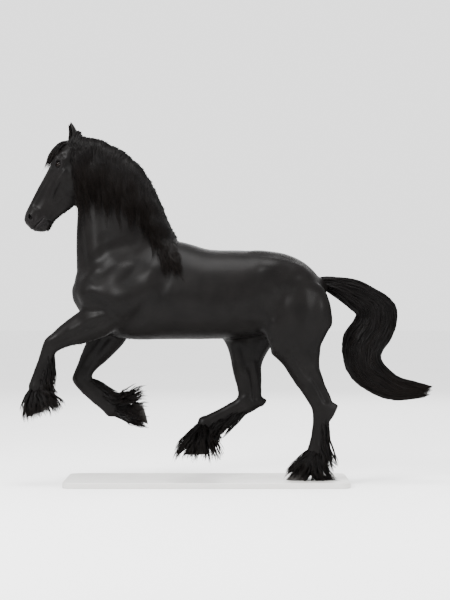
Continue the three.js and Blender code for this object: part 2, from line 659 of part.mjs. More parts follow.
function featherLocks(joints, flesh, { side, sole, flare, hang }) {
  const draw = seededRandom(FEATHER.seed + sole[0]);
  const mix = THREE.MathUtils.lerp;
  return FEATHER.tiers.flatMap(({ root, tip, off, wide, thick, turns }) => turns.map((degrees) => {
    const turn = THREE.MathUtils.degToRad(degrees + draw(-4, 4));
    const ahead = (Math.cos(turn) + 1) / 2;
    const high = off * mix(flare[1], flare[0], ahead) * draw(0.92, 1.06);
    const end = mix(root, tip, draw(0.94, 1.02));
    const swing = [0, 1].map((n) => off * mix(hang[1][n], hang[0][n], ahead));
    const at = (share, height) => {
      const point = besideLimb(joints, side, flesh, mix(root, end, share), turn, height);
      point.x += swing[0] * share * share;
      point.z = Math.max(point.z + swing[1] * share * share, FEATHER.floor);
      return point;
    };
    const points = [at(0, -FEATHER.sink), at(0.35, high * 0.4), at(0.7, high * 0.85), at(1, high)];
    const face = Math.cos(turn) < -0.4 ? FEATHER.flat : 1;
    const normals = [0, 0.5, 1].map((share) => {
      const out = at(share, 10).sub(at(share, 0));
      return out.set(out.x * face, out.y, out.z * face).normalize();
    });
    const fan = (share) => wide * Math.min(1, FEATHER.narrow + share * 1.2);
    return solid(lock(points, normals, fan, thick, 3));
  }));
}

// Display base
function baseForm() {
  const [long, wide, r] = [BASE.length / 2, BASE.width / 2, BASE.corner];
  const outline = new THREE.Shape();
  outline.moveTo(-long + r, -wide);
  outline.lineTo(long - r, -wide).absarc(long - r, -wide + r, r, -Math.PI / 2, 0, false);
  outline.lineTo(long, wide - r).absarc(long - r, wide - r, r, 0, Math.PI / 2, false);
  outline.lineTo(-long + r, wide).absarc(-long + r, wide - r, r, Math.PI / 2, Math.PI, false);
  outline.lineTo(-long, -wide + r).absarc(-long + r, -wide + r, r, Math.PI, Math.PI * 1.5, false);
  const plate = new THREE.ExtrudeGeometry(outline, {
    depth: BASE.thick - BASE.edge * 2, curveSegments: 3,
    bevelThickness: BASE.edge, bevelSize: BASE.edge, bevelOffset: -BASE.edge, bevelSegments: 1,
  });
  return plate.translate(BASE.middle, 0, BASE.edge - BASE.thick - GAP);
}

// Assembly
const coat = new THREE.MeshStandardMaterial({ color: 0x0b0a0a, roughness: 0.42, metalness: 0 });
const horn = new THREE.MeshStandardMaterial({ color: 0x1b1817, roughness: 0.5, metalness: 0 });
const eye = new THREE.MeshStandardMaterial({ color: 0x120a06, roughness: 0.06, metalness: 0 });
const plate = new THREE.MeshStandardMaterial({ color: 0xc9c7c2, roughness: 0.55, metalness: 0 });

const horse = new THREE.Group();
horse.position.z = BASE.thick + GAP;

function node(name, made, material) {
  const mesh = made.getMesh();
  const geometry = new THREE.BufferGeometry();
  geometry.setAttribute('position', new THREE.BufferAttribute(mesh.vertProperties, 3));
  geometry.setIndex(new THREE.BufferAttribute(mesh.triVerts, 1));
  const part = new THREE.Mesh(geometry, material);
  part.name = name;
  horse.add(part);
}

const grown = (ribs, shape) => solid(form(ribs, { ...shape, grow: GAP }));
const torsoGrown = grown(TORSO, TORSO_FORM);
const headGrown = grown(SKULL, SKULL_FORM);
const neckGrown = grown(NECK, NECK_FORM);
const leftSide = leftSurface([form(NECK, NECK_FORM), form(TORSO, TORSO_FORM)].map(meshOf));

node('torso', solid(form(TORSO, TORSO_FORM)), coat);
const maned = join([solid(form(NECK, NECK_FORM)), ...maneLocks(leftSide)]);
const earsGrown = [NEAR, FAR].map((side) => onEar(earCup(1, 0, 1, GAP), side).subtract(headGrown));
node('neck', cutClear(maned, [torsoGrown, headGrown, ...earsGrown]), coat);
node('head', cutClear(join([headFlesh(), ...forelockLocks()]), [neckGrown, ...headCuts(), ...earsGrown]), coat);
for (const [name, side] of [['left', NEAR], ['right', FAR]]) {
  node(`eye_${name}`, eyeBall(side, 0), eye);
  node(`ear_${name}`, earSolid(side, headGrown), coat);
}

const tail = join([tailCore(), ...tailLocks()]).subtract(torsoGrown);
const [upperCut, lowerCut] = TAIL_CUTS;
node('tail_upper', largest(tail.subtract(beyond(upperCut, 0))), coat);
node('tail_middle', largest(tail.intersect(beyond(upperCut, GAP)).subtract(beyond(lowerCut, 0))), coat);
node('tail_end', largest(tail.intersect(beyond(lowerCut, GAP))), coat);

const ground = solid(new THREE.BoxGeometry(4000, 2000, 400).translate(0, 0, -200));

// A limb from the body down: each piece is cut clear of the one above it, and the last of hoof and ground.
function limb(name, pose, pieces) {
  let above = torsoGrown;
  for (const { part, joints, flesh, domes, feathered } of pieces) {
    const ribs = limbRibs(joints, pose.side, flesh);
    const locks = feathered ? featherLocks(joints, flesh, pose) : [];
    const cuts = feathered ? [above, solid(hoofForm(pose, GAP)), ground] : [above];
    node(`${name}_${part}`, cutClear(join([solid(form(ribs, { domes })), ...locks]), cuts), coat);
    above = solid(form(ribs, { domes, grow: GAP }));
  }
  node(`${name}_hoof`, solid(hoofForm(pose, 0)), horn);
}

for (const [name, pose] of Object.entries(FORE_POSE)) {
  limb(`fore_${name}`, pose, [
    { part: 'forearm', joints: [pose.elbow, pose.knee], flesh: FOREARM, domes: [40, 30] },
    { part: 'cannon', joints: [pose.knee, pose.fetlock, pose.crown], flesh: FORE_CANNON, domes: [34, 8], feathered: true },
  ]);
}
for (const [name, pose] of Object.entries(HIND_POSE)) {
  limb(`hind_${name}`, pose, [
    { part: 'thigh', joints: [pose.hip, pose.stifle, pose.hock], flesh: THIGH, domes: [40, 40] },
    { part: 'gaskin', joints: [pose.stifle, pose.hock], flesh: GASKIN, domes: [40, 34] },
    { part: 'cannon', joints: [pose.hock, pose.fetlock, pose.crown], flesh: HIND_CANNON, domes: [34, 8], feathered: true },
  ]);
}

node('stand_base', solid(baseForm()), plate);

export default horse;
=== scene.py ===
"""A black Friesian horse, life size, in a right canter on a flat display base.

The skin is one closed surface over all the flesh. Mane, forelock, tail and feather are solid tapered
locks of hair. Sizes inside the script are millimetres above the top of the base.
"""

import math

import bmesh
import bpy
import numpy as np
from mathutils import Matrix, Vector
from mathutils.bvhtree import BVHTree


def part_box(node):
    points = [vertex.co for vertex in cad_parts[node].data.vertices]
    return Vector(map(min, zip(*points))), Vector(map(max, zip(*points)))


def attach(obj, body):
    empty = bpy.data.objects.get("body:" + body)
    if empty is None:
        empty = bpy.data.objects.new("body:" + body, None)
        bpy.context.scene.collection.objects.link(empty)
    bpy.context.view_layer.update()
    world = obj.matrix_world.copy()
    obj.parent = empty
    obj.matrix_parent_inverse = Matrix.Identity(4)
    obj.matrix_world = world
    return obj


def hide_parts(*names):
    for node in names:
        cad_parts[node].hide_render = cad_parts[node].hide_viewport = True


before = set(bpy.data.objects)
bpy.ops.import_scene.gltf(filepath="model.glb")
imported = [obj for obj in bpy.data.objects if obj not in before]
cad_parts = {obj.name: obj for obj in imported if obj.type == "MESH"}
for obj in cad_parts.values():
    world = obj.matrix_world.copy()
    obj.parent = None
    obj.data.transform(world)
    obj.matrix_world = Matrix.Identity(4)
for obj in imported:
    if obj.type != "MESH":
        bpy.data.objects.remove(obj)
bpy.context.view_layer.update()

bl_info = {
    "name": "Friesian horse",
    "version": (1, 0, 0),
    "blender": (4, 5, 0),
    "location": "3D View > Sidebar > Horse",
    "description": "Builds a life-size Friesian horse in canter, with its hair as solid locks",
    "category": "Add Mesh",
}

# The hooves stand this far above the top of the base, in millimetres
HOOF_GAP = 0.35
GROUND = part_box("stand_base")[1].z * 1000 + HOOF_GAP
NEAR, FAR = -1, 1

# Sizes of the body

HEAD = {"poll": (-1050, 2277), "slope": math.radians(62.4)}
EYE = {"along": 214, "below": 54, "side": 80, "radius": 23, "socket": 74}
EAR = {"length": 128, "width": 62, "along": 36, "below": 62, "side": 46}
LID = {"along": EYE["along"], "below": EYE["below"], "long": 21, "tall": 15, "lean": 12}
NOSTRIL = {"along": 606, "below": 44, "long": 22, "tall": 11.5, "lean": 52, "deep": 26}
MOUTH = [(700, 84), (668, 97), (616, 112), (566, 126)]
# The upper and the lower lip: how far below the line of the mouth, half width, how far it stands out
LIPS = [(-13, 15, 2.6), (12, 14, 3.2)]
HOOF = {
    "length": 150, "width": 136, "toe": 80, "heel": 44, "angle": math.radians(50),
    "crown": 104, "crown_width": 114,
}
# Sizes in metres that the grain of the horn is laid out with: up the wall, round it and across the sole
WALL = {"high": 0.1, "round": 0.065, "under": 0.06}
# Areas of the head: how far they reach along it, and below the line of the face
AREAS = {
    "coat": ((-60, 720), (-60, 330)), "head": ((-40, 720), (-60, 330)), "face": ((-20, 720), (-40, 240)),
    "eye": ((120, 320), (-40, 160)), "jaw": ((90, 620), (100, 330)), "nose": ((520, 720), (-40, 240)),
    "muzzle": ((500, 720), (-60, 240)), "mouth": ((500, 720), (40, 200)), "lips": ((540, 720), (40, 200)),
    "lip_edges": ((540, 720), (20, 240)),
}
HEAD_REACH = 150
MOUTH_CORNER = 556


def rib(top, bottom, wide, y=0.0, widest=0.5, peak=2.0, keel=2.0):
    """An upright section: its upper and lower point from the side, its half width and its shape."""
    return (*top, *bottom, y, wide, widest, peak, keel)


def on_head(along, below):
    """A place on the head: along runs down the face from the poll, below from the line of the face."""
    cos, sin = math.cos(HEAD["slope"]), math.sin(HEAD["slope"])
    x, z = HEAD["poll"]
    return x - along * cos + below * sin, z - along * sin - below * cos


def head_rib(along, face, jaw, wide, **shape):
    return rib(on_head(along, face), on_head(along, jaw), wide, **shape)


def head_bulge(along, below, lean, reach, out):
    return on_head(along, below), math.degrees(HEAD["slope"]) + lean, reach, out


TORSO = [
    rib((-962, 1384), (-980, 1136), 150, keel=1.8),
    rib((-900, 1430), (-905, 1022), 200, peak=2.2, keel=1.8),
    rib((-769, 1500), (-769, 940), 232, peak=1.9, keel=1.9, widest=0.48),
    rib((-604, 1543), (-604, 912), 252, peak=1.75, keel=1.9, widest=0.46),
    rib((-439, 1572), (-439, 913), 276, peak=1.7, widest=0.46),
    rib((-274, 1558), (-274, 914), 292, peak=1.8, keel=2.1, widest=0.45),
    rib((-109, 1512), (-109, 915), 302, keel=2.1, widest=0.46),
    rib((89, 1506), (89, 923), 298, peak=2.1, keel=2.1, widest=0.47),
    rib((272, 1497), (272, 958), 280, peak=2.2, widest=0.52),
    rib((420, 1465), (420, 1016), 264, peak=2.3, widest=0.56),
    rib((545, 1388), (545, 1075), 210, peak=2.3, widest=0.56),
    rib((624, 1300), (628, 1130), 130, peak=2.1),
]
# Each bulge: place from the side, lean in degrees, reach along and across it, and how far it stands out.
TORSO_BULGES = [
    ((-690, 1380), 50, (300, 120), 26),
    ((-880, 1225), 0, (150, 150), 36),
    ((-700, 1170), 20, (220, 170), 40),
    ((-520, 1060), 70, (220, 110), -16),
    ((300, 1400), 20, (150, 100), 22),
]
NECK = [
    rib((-954, 2205), (-1008, 1930), 70, peak=1.8),
    rib((-838, 2178), (-985, 1782), 84, peak=1.7, widest=0.46),
    rib((-694, 2104), (-991, 1624), 104, peak=1.7, widest=0.42),
    rib((-578, 1996), (-992, 1470), 128, peak=1.7, widest=0.4),
    rib((-488, 1836), (-988, 1320), 158, peak=1.7, widest=0.4),
    rib((-418, 1672), (-960, 1170), 190, peak=1.7, widest=0.42),
    rib((-360, 1560), (-850, 1040), 214, peak=1.8, widest=0.44),
]
SKULL = [
    head_rib(24, 62, 196, 58, widest=0.6),
    head_rib(75, 24, 234, 84, widest=0.66, peak=2.3),
    head_rib(140, 4, 266, 95, widest=0.7, peak=2.5, keel=1.8),
    head_rib(205, -2, 284, 96, widest=0.74, peak=2.6, keel=1.7),
    head_rib(270, -2, 290, 84, widest=0.7, peak=2.5, keel=1.8),
    head_rib(340, -3, 284, 70, widest=0.68, peak=2.4, keel=1.8),
    head_rib(405, -5, 266, 60, widest=0.66, peak=2.4, keel=1.8),
    head_rib(465, -5, 238, 53, widest=0.64, peak=2.3, keel=1.9),
    head_rib(525, -4, 208, 50, widest=0.62, peak=2.2),
    head_rib(574, -3, 194, 52, widest=0.62, peak=2.2),
    head_rib(616, 2, 190, 54, widest=0.6, peak=2.2),
    head_rib(652, 21, 166, 46, widest=0.56),
    head_rib(668, 60, 128, 26),
]
SKULL_BULGES = [
    head_bulge(262, 196, 0, (150, 110), 22),
    head_bulge(196, 34, 6, (80, 46), 18),
    head_bulge(340, 98, -8, (150, 40), 12),
    head_bulge(600, 46, 0, (84, 56), 15),
    head_bulge(640, 84, 0, (60, 50), 10),
    head_bulge(600, 158, 0, (66, 44), 8),
]
TAIL = [
    rib((590, 1337), (610, 1238), 30),
    rib((670, 1344), (650, 1228), 40),
    rib((800, 1319), (730, 1190), 58, y=6),
    rib((930, 1280), (800, 1130), 72, y=12),
    rib((1097, 1174), (850, 1085), 84, y=18),
    rib((1130, 1040), (840, 1040), 88, y=20),
    rib((1094, 925), (768, 940), 86, y=16),
    rib((1024, 825), (762, 838), 82, y=6),
    rib((1036, 752), (796, 694), 76, y=-8),
    rib((1122, 674), (906, 586), 62, y=-22),
    rib((1232, 642), (1086, 512), 46, y=-34),
    rib((1326, 612), (1268, 530), 28, y=-44),
    rib((1362, 606), (1340, 550), 18, y=-48),
]

# Flesh of the legs: bone, share of its length, before, behind, half width
FOREARM = [
    (0, -0.16, 92, 86, 72), (0, 0.06, 108, 110, 78), (0, 0.25, 112, 114, 74), (0, 0.48, 104, 98, 62),
    (0, 0.7, 84, 78, 50), (0, 0.87, 70, 70, 46), (0, 1, 62, 68, 47),
]
FORE_CANNON = [
    (0, -0.06, 52, 48, 46), (0, 0.1, 56, 50, 43), (0, 0.28, 54, 50, 34), (0, 0.6, 50, 52, 31),
    (0, 0.86, 52, 54, 36), (1, 0, 53, 58, 40), (1, 0.5, 48, 46, 42), (1, 1, 50, 50, 50),
]
THIGH = [
    (0, 0, 205, 218, 110), (0, 0.3, 196, 278, 122), (0, 0.62, 170, 304, 118), (0, 0.9, 138, 282, 104),
    (1, 0.16, 112, 240, 88),
]
GASKIN = [
    (0, 0.02, 128, 244, 84), (0, 0.2, 98, 214, 80), (0, 0.36, 88, 166, 70), (0, 0.56, 83, 106, 56),
    (0, 0.78, 82, 86, 46), (0, 0.94, 82, 84, 44),
]
HIND_CANNON = [
    (0, -0.12, 58, 58, 40), (0, -0.02, 68, 68, 43), (0, 0.09, 64, 68, 44), (0, 0.28, 46, 56, 35),
    (0, 0.58, 40, 52, 32),
    (0, 0.86, 48, 56, 37), (1, 0, 54, 58, 41), (1, 0.5, 44, 48, 42), (1, 1, 44, 50, 50),
]

# The heel bone, from the point of the hock down into the cannon
HEEL = [(0, 0.04, 24, 22, 21), (0, 0.3, 34, 32, 27), (0, 0.65, 40, 42, 31), (0, 1, 36, 40, 29)]

# The muscle behind the thigh that is swung forward, from the buttock down into the gaskin
HAM = [(0, 0, 110, 84, 96), (0, 0.3, 130, 72, 104), (0, 0.65, 110, 44, 94), (0, 1, 84, 42, 74)]


def stouter(flesh, sizes):
    """The flesh of a bone, with its depth before and behind it grown by two shares, not at the fetlock."""
    rows = []
    for bone, share, before, behind, wide in flesh:
        if bone + share < 0.8:
            grow = sizes
        elif bone + share < 1.05:
            grow = [(1 + size) / 2 for size in sizes]
        else:
            grow = (1, 1)
        rows.append((bone, share, before * grow[0], behind * grow[1], wide))
    return rows


def fore_leg(name, side, joints, arm, stout, **foot):
    """A fore leg: joints are elbow, knee, fetlock and crown of the hoof, as x, z and y."""
    flesh = [
        (joints[0:2], stouter(FOREARM, arm), (40, 30)),
        (joints[1:4], stouter(FORE_CANNON, stout), (34, 8)),
    ]
    return {"name": name, "side": side, "joints": joints, "flesh": flesh, "relief": FORE_RELIEF, **foot}


def hind_leg(name, side, joints, heel, stout, thigh=1, ham=(), **foot):
    """A hind leg: joints are hip, stifle, hock, fetlock and crown of the hoof. The heel bone and the
    muscle behind the thigh run from the first to the second place of heel and of ham."""
    flesh = [([(*place, joints[2][2]) for place in heel], HEEL, (14, 20))]
    if ham:
        flesh.append(([(*place, joints[0][2]) for place in ham], HAM, (30, 20)))
    # The gaskin takes part in the cannon's stoutness: a quarter of it before, half of it behind
    gaskin = ((stout[0] + 3) / 4, (stout[1] + 1) / 2)
    flesh += [
        (joints[0:3], stouter(THIGH, (1, thigh)), (40, 40)),
        (joints[1:3], stouter(GASKIN, gaskin), (40, 34)),
        (joints[2:5], stouter(HIND_CANNON, stout), (34, 8)),
    ]
    return {"name": name, "side": side, "joints": joints, "flesh": flesh, "relief": HIND_RELIEF, **foot}


# Relief of the muscles, tendons and bones: a line, its half width, and how far it stands out.
# Lines on the body are x and z; on the head along and below; on a leg bone, share and offset to the front.
BODY_RELIEF = [
    # Shoulder blade and the muscles on it, the hollow before it, and the back of the upper arm.
    ([(-440, 1500), (-600, 1400), (-850, 1265)], 60, 5),
    ([(-400, 1440), (-560, 1330), (-780, 1210)], 90, 6),
    ([(-600, 1560), (-800, 1480), (-955, 1345)], 60, -9),
    ([(-470, 1350), (-560, 1230), (-700, 1120)], 130, 16),
    ([(-400, 1400), (-440, 1250), (-550, 1090), (-620, 1020)], 80, -9),
    # Point of the shoulder and the breast.
    ([(-930, 1270), (-905, 1220)], 100, 10),
    ([(-960, 1190), (-880, 1090), (-800, 1020)], 100, 12),
    ([(-880, 1190), (-790, 1110)], 50, -6),
    # Flank, fold of the stifle and point of the hip.
    ([(110, 1000), (230, 1090), (330, 1200)], 110, -12),
    ([(330, 1010), (240, 1060), (120, 1040)], 44, 5),
    ([(285, 1400), (310, 1370)], 90, 4),
    ([(200, 1330), (300, 1300)], 90, -3),
    ([(480, 1330), (570, 1250), (610, 1150)], 150, 18),
    # Loin, croup and the lower edge of the ribs.
    ([(250, 1455), (420, 1430), (560, 1350)], 110, 9),
    ([(-480, 1000), (-200, 980), (60, 1030), (230, 1130)], 70, -4),
    # Neck: groove of the vein, the long muscle before the shoulder, the broad one, and the crest.
    ([(-962, 1930), (-965, 1650), (-940, 1430)], 44, -9),
    ([(-900, 2060), (-890, 1800), (-870, 1560), (-860, 1380)], 76, 8),
    ([(-800, 2100), (-720, 1900), (-620, 1700)], 110, 8),
    ([(-850, 2090), (-740, 1960), (-600, 1780), (-520, 1650)], 50, -6),
    ([(-860, 2140), (-720, 2060), (-600, 1930), (-520, 1800), (-450, 1660)], 56, 6),
    ([(-780, 1560), (-660, 1470)], 80, -5),
]
# The ribs behind the shoulder, faintly
BODY_RELIEF += [([(x + 20, 1230), (x, 1120), (x - 24, 1030)], 34, 0.6) for x in range(-330, 151, 60)]
# Seen from above: the groove of the back, and the loins
BACK_RELIEF = [
    ([(560, 0), (380, 0), (150, 0), (-240, 0)], 36, -5),
    ([(200, 95), (420, 105), (560, 80)], 80, 8),
]
# Seen from the front: the groove of the breast, and its muscles
BREAST_RELIEF = [([(0, 1340), (0, 1080)], 26, -16), ([(86, 1230), (82, 1130)], 72, 15)]
HEAD_RELIEF = [
    # Facial crest, the hollows below and before it, temple, brow, and the fold under the eye.
    ([(232, 108), (300, 100), (380, 102), (430, 110)], 24, 6.5),
    ([(250, 140), (330, 132), (420, 136)], 30, -3),
    ([(300, 60), (400, 62), (520, 50)], 34, -6),
    ([(150, 52), (172, 44)], 30, -9),
    ([(178, 16), (212, 16), (248, 26)], 18, 7),
    ([(190, 92), (222, 94), (250, 84)], 9, 2.4),
    # Cheek with its edges, a vein, the wing of the nostril, the hollow of the chin, and the chin.
    ([(150, 130), (156, 190), (196, 250)], 26, -5),
    ([(236, 186), (262, 206)], 100, 9),
    ([(322, 150), (350, 200), (338, 260)], 34, -6),
    ([(456, 128), (410, 156), (372, 196)], 11, 2.2),
    ([(552, 60), (584, 26)], 30, 1),
    ([(420, 190), (520, 176), (560, 166)], 30, -5),
    ([(590, 170), (622, 176)], 30, 9),
    ([(640, 66), (668, 88)], 26, 5),
]
FORE_RELIEF = [
    ([(0, 0.02, 20), (0, 0.3, 26), (0, 0.6, 18)], 44, 8),
    ([(0, 0, -40), (0, 0.3, -44), (0, 0.6, -30)], 40, 8),
    ([(0, 0.08, -8), (0, 0.4, -8), (0, 0.82, -6)], 18, -6),
    ([(0, 0.9, 30), (0, 1, 34), (1, 0.06, 30)], 34, 6),
    ([(0, 0.97, -2), (1, 0.02, -2)], 16, 4),
    ([(0, 0.95, -40), (1, 0.04, -42)], 22, 6),
    ([(1, 0.12, -16), (1, 0.5, -14), (1, 0.84, -16)], 12, -6),
    ([(1, 0.14, -34), (1, 0.8, -36)], 14, 3),
    ([(1, 0.94, -30), (2, 0.1, -34)], 24, 7),
    ([(1, 0.98, 14), (2, 0.06, 14)], 24, 4),
]
HIND_RELIEF = [
    ([(0, 0.2, 120), (0, 0.6, 110), (0, 0.95, 84)], 90, 12),
    ([(0, 0.98, 70), (1, 0.04, 80)], 40, 7),
    ([(0, 0.15, -70), (0, 0.6, -90), (1, 0.1, -110)], 110, 12),
    ([(0, 0.1, -210), (0, 0.6, -210), (1, 0.12, -190)], 70, 8),
    ([(0, 0.2, -140), (0, 0.6, -160), (1, 0.1, -160)], 50, -3),
    ([(0, 0.2, 40), (0, 0.7, 30), (1, 0.05, 10)], 70, -5),
    ([(1, 0.14, 46), (1, 0.34, 40), (1, 0.6, 24)], 44, 8),
    ([(1, 0.16, -60), (1, 0.34, -56)], 50, 8),
    ([(1, 0.2, 0), (1, 0.6, -8)], 18, -6),
    ([(1, 0.55, -34), (1, 0.75, -34), (1, 0.96, -30)], 26, -13),
    ([(1, 0.5, -66), (1, 0.8, -68), (1, 1, -80)], 16, 5),
    ([(1, 0.96, -70), (2, -0.02, -76)], 34, 9),
    ([(2, 0, 34), (2, 0.08, 30)], 26, 5),
    ([(2, 0.2, -14), (2, 0.5, -12), (2, 0.84, -14)], 12, -6),
    ([(2, 0.22, -34), (2, 0.82, -36)], 14, 3),
    ([(2, 0.94, -30), (3, 0.1, -32)], 24, 7),
]

# pitch turns a hoof, flare is how far its feather stands out before and behind, hang bends that feather
# by x and z before and behind, and brush is how much feather grows high on the cannon.
LEGS = [
    fore_leg(
        "fore_left", NEAR,
        [(-764, 1072, 150), (-1158, 880, 128), (-1246, 604, 116), (-1232, 500, 114)],
        (1.06, 0.98), (0.96, 1.28),
        sole=(-1241, 434), pitch=-20, flare=(88, 132), hang=((34, -38), (-2, -36)), brush=0.46,
    ),
    fore_leg(
        "fore_right", FAR,
        [(-724, 1034, 150), (-976, 668, 128), (-758, 453, 118), (-614, 428, 116)],
        (0.98, 1.03), (1.42, 1.06),
        sole=(-543, 418), pitch=-105.8, flare=(44, 152), hang=((0, 0), (0, -4)), brush=0.32,
    ),
    hind_leg(
        "hind_left", NEAR,
        [(419, 1274, 150), (388, 898, 158), (628, 492, 126), (588, 196, 112), (508, 74, 110)],
        [(732, 495), (642, 396)], (1.26, 1.04),
        sole=(464, 0), pitch=0, flare=(45, 124), hang=((-18, -14), (132, 0)), brush=0.16,
    ),
    hind_leg(
        "hind_right", FAR,
        [(380, 1287, 150), (76, 983, 158), (162, 511, 126), (-142, 349, 112), (-190, 222, 110)],
        [(278, 504), (98, 435)], (1.2, 1.28), thigh=0.82, ham=[(500, 1225), (214, 800)],
        sole=(-213, 148.5), pitch=0, flare=(110, 136), hang=((-2, -72), (12, -12)), brush=0.52,
    ),
]

# Where flesh runs from one form into the next: a line, its half width, and its side or both
BLENDS = [
    ([(-985, 1180), (-900, 1330), (-700, 1450), (-480, 1560)], 190, 0),
    ([(-360, 1600), (-330, 1560)], 120, 0),
    ([(-880, 1040), (-780, 1110), (-640, 1060)], 150, 0),
    ([(330, 1010), (230, 1120), (240, 1320)], 120, 0),
    ([(230, 1330), (330, 1350), (520, 1350), (630, 1250)], 190, 0),
    ([(-930, 2040), (-925, 2180), (-960, 2225)], 70, 0),
    ([(-1000, 1985), (-985, 1920)], 60, 0),
]
# Where only the hollows at a joint are filled: stifles, buttocks, knees and hocks
JOINTS = [
    ([(260, 900), (380, 830), (540, 900)], 140, NEAR),
    ([(-20, 930), (100, 860), (260, 900)], 140, FAR),
    ([(600, 1290), (660, 1180), (690, 1010), (660, 840)], 150, 0),
    ([(430, 1100), (350, 990), (270, 860)], 170, FAR),
    ([(-1180, 860), (-1090, 860)], 140, NEAR),
    ([(-1010, 680), (-900, 660)], 120, FAR),
    ([(560, 560), (720, 480)], 120, NEAR),
    ([(120, 560), (240, 470)], 120, FAR),
]


# Curves and forms

def signed_power(value, exponent):
    return np.sign(value) * np.abs(value) ** exponent


def unit(vectors):
    length = np.linalg.norm(vectors, axis=-1, keepdims=True)
    return vectors / np.maximum(length, 1e-9)


def ease(value):
    """0 below 0, 1 above 1, and smooth between."""
    t = np.clip(value, 0, 1)
    return t * t * (3 - 2 * t)


def circle(count):
    """Angles spread evenly round a circle."""
    return np.arange(count) * 2 * np.pi / count


def quads(a, b, c, d):
    """Faces with four corners, from four arrays of points."""
    return np.stack([a, b, c, d], axis=-1).reshape(-1, 4)


def between(ribs, places):
    """Sections part way along a row of ribs, on a smooth curve through them."""
    rows = np.asarray(ribs, float)
    place = np.clip(np.asarray(places, float), 0, len(rows) - 1)
    first = np.minimum(place.astype(int), len(rows) - 2)
    t = (place - first)[..., None]
    a, b, c, d = (rows[np.clip(first + n, 0, len(rows) - 1)] for n in (-1, 0, 1, 2))
    return b + 0.5 * t * (c - a + t * (2 * a - 5 * b + 4 * c - d + t * (3 * (b - c) + d - a)))


def rings_of(sections, sides, grow):
    """The points round each section, from its top over the left side."""
    top, bottom = sections[:, 0:2], sections[:, 2:4]
    y, wide, widest, peak, keel = (sections[:, n, None] for n in range(4, 9))
    tall = np.linalg.norm(top - bottom, axis=1, keepdims=True)
    up = (top - bottom) / tall
    angle = circle(sides)
    upper = np.cos(angle) >= -1e-12
    exponent = 2 / np.where(upper, peak, keel)
    rise = signed_power(np.cos(angle), exponent) * (np.where(upper, 1 - widest, widest) * tall + grow)
    out = signed_power(np.sin(angle), exponent) * (wide + grow)
    centre = bottom + up * widest * tall
    return np.stack([centre[:, :1] + up[:, :1] * rise, y - out, centre[:, 1:] + up[:, 1:] * rise], axis=-1)


def push_out(points, place, lean, reach, out):
    """Pushes the sides out round a place in the side view, less within 40 mm of the middle plane."""
    turn = math.radians(lean)
    dx, dz = points[..., 0] - place[0], points[..., 2] - place[1]
    a = (dx * math.cos(turn) + dz * math.sin(turn)) / reach[0]
    b = (dz * math.cos(turn) - dx * math.sin(turn)) / reach[1]
    near = np.maximum(0, 1 - a * a - b * b) ** 2
    points[..., 1] += np.sign(points[..., 1]) * out * near * np.minimum(1, np.abs(points[..., 1]) / 40)


def tube(rings, first, last):
    """Closes rings of points between two end points: points, and lists of faces."""
    count, sides = rings.shape[:2]
    points = np.concatenate([rings.reshape(-1, 3), [first, last]])
    at = np.arange(count * sides).reshape(count, sides)
    beside = np.roll(at, -1, axis=1)
    walls = quads(at[:-1], beside[:-1], beside[1:], at[1:])
    start = np.stack([np.full(sides, len(points) - 2), beside[0], at[0]], axis=-1)
    end = np.stack([np.full(sides, len(points) - 1), at[-1], beside[-1]], axis=-1)
    return points, [walls, start, end]


def loft(ribs, domes, grow, bulges=(), sides=40, steps=6):
    """A closed form through ribs, with a dome on each end."""
    sections = between(ribs, np.arange((len(ribs) - 1) * steps + 1) / steps)
    rings = rings_of(sections, sides, grow)
    for bulge in bulges:
        push_out(rings, *bulge)
    ends = []
    for ring, inner, depth in ((rings[0], rings[1], domes[0]), (rings[-1], rings[-2], domes[1])):
        centre = ring.mean(0)
        out = unit(centre - inner.mean(0)) * (depth + grow)
        turns = np.radians([22.5, 45, 67.5])[:, None, None]
        ends.append(((ring - centre) * np.cos(turns) + centre + out * np.sin(turns), centre + out))
    rings = np.concatenate([ends[0][0][::-1], rings, ends[1][0]])
    return tube(rings, ends[0][1], ends[1][1])


def bone_at(joints, bone, share):
    """The line of a bone: x, z, y and the way to its front, which turns half way to that of the next bone
    over the last three tenths of its length."""
    spots = np.asarray(joints, float)
    ways = unit(np.diff(spots[:, :2], axis=0))
    run = ways[bone].copy()
    if bone > 0 and share < 0.3:
        run += (ways[bone - 1] - run) * 0.5 * (1 - max(share, 0) / 0.3)
    if bone < len(ways) - 1 and share > 0.7:
        run += (ways[bone + 1] - run) * 0.5 * (share - 0.7) / 0.3
    run = unit(run)
    x, z, y = spots[bone] + (spots[bone + 1] - spots[bone]) * share
    return x, z, y, np.array([run[1], -run[0]])


def limb_ribs(joints, side, flesh):
    ribs = []
    for bone, share, before, behind, wide in flesh:
        x, z, y, front = bone_at(joints, bone, share)
        here = np.array([x, z])
        ribs.append(rib(
            here + front * before, here - front * behind, wide, y=side * y, widest=behind / (before + behind),
        ))
    return ribs


def beside_limb(leg, place, turn, lift):
    """A point beside the foot of a leg: place counts bones from the top of its cannon, turn goes round
    from its front, and lift is the height over the flesh."""
    joints, flesh, _ = leg["flesh"][-1]
    ranks = [row[0] + row[1] for row in flesh]
    before, behind, wide = (np.interp(place, ranks, [row[n] for row in flesh]) for n in (2, 3, 4))
    bone = 0 if place < 1 else 1
    x, z, y, front = bone_at(joints, bone, place - bone)
    cos, sin = math.cos(turn), math.sin(turn)
    reach = cos * ((before if cos > 0 else behind) + lift)
    return np.array([x + front[0] * reach, leg["side"] * (y + sin * (wide + lift)), z + front[1] * reach])


def in_rib(sections, turn, reach):
    """Points in sections: turn goes round from the top over the left, reach is a share of their size."""
    up, out = np.cos(turn) * reach, np.sin(turn) * reach
    half = (sections[..., 0:2] - sections[..., 2:4]) / 2
    middle = (sections[..., 0:2] + sections[..., 2:4]) / 2
    flat = middle + half * up[..., None]
    return np.stack([flat[..., 0], sections[..., 4] - sections[..., 5] * out, flat[..., 1]], axis=-1)


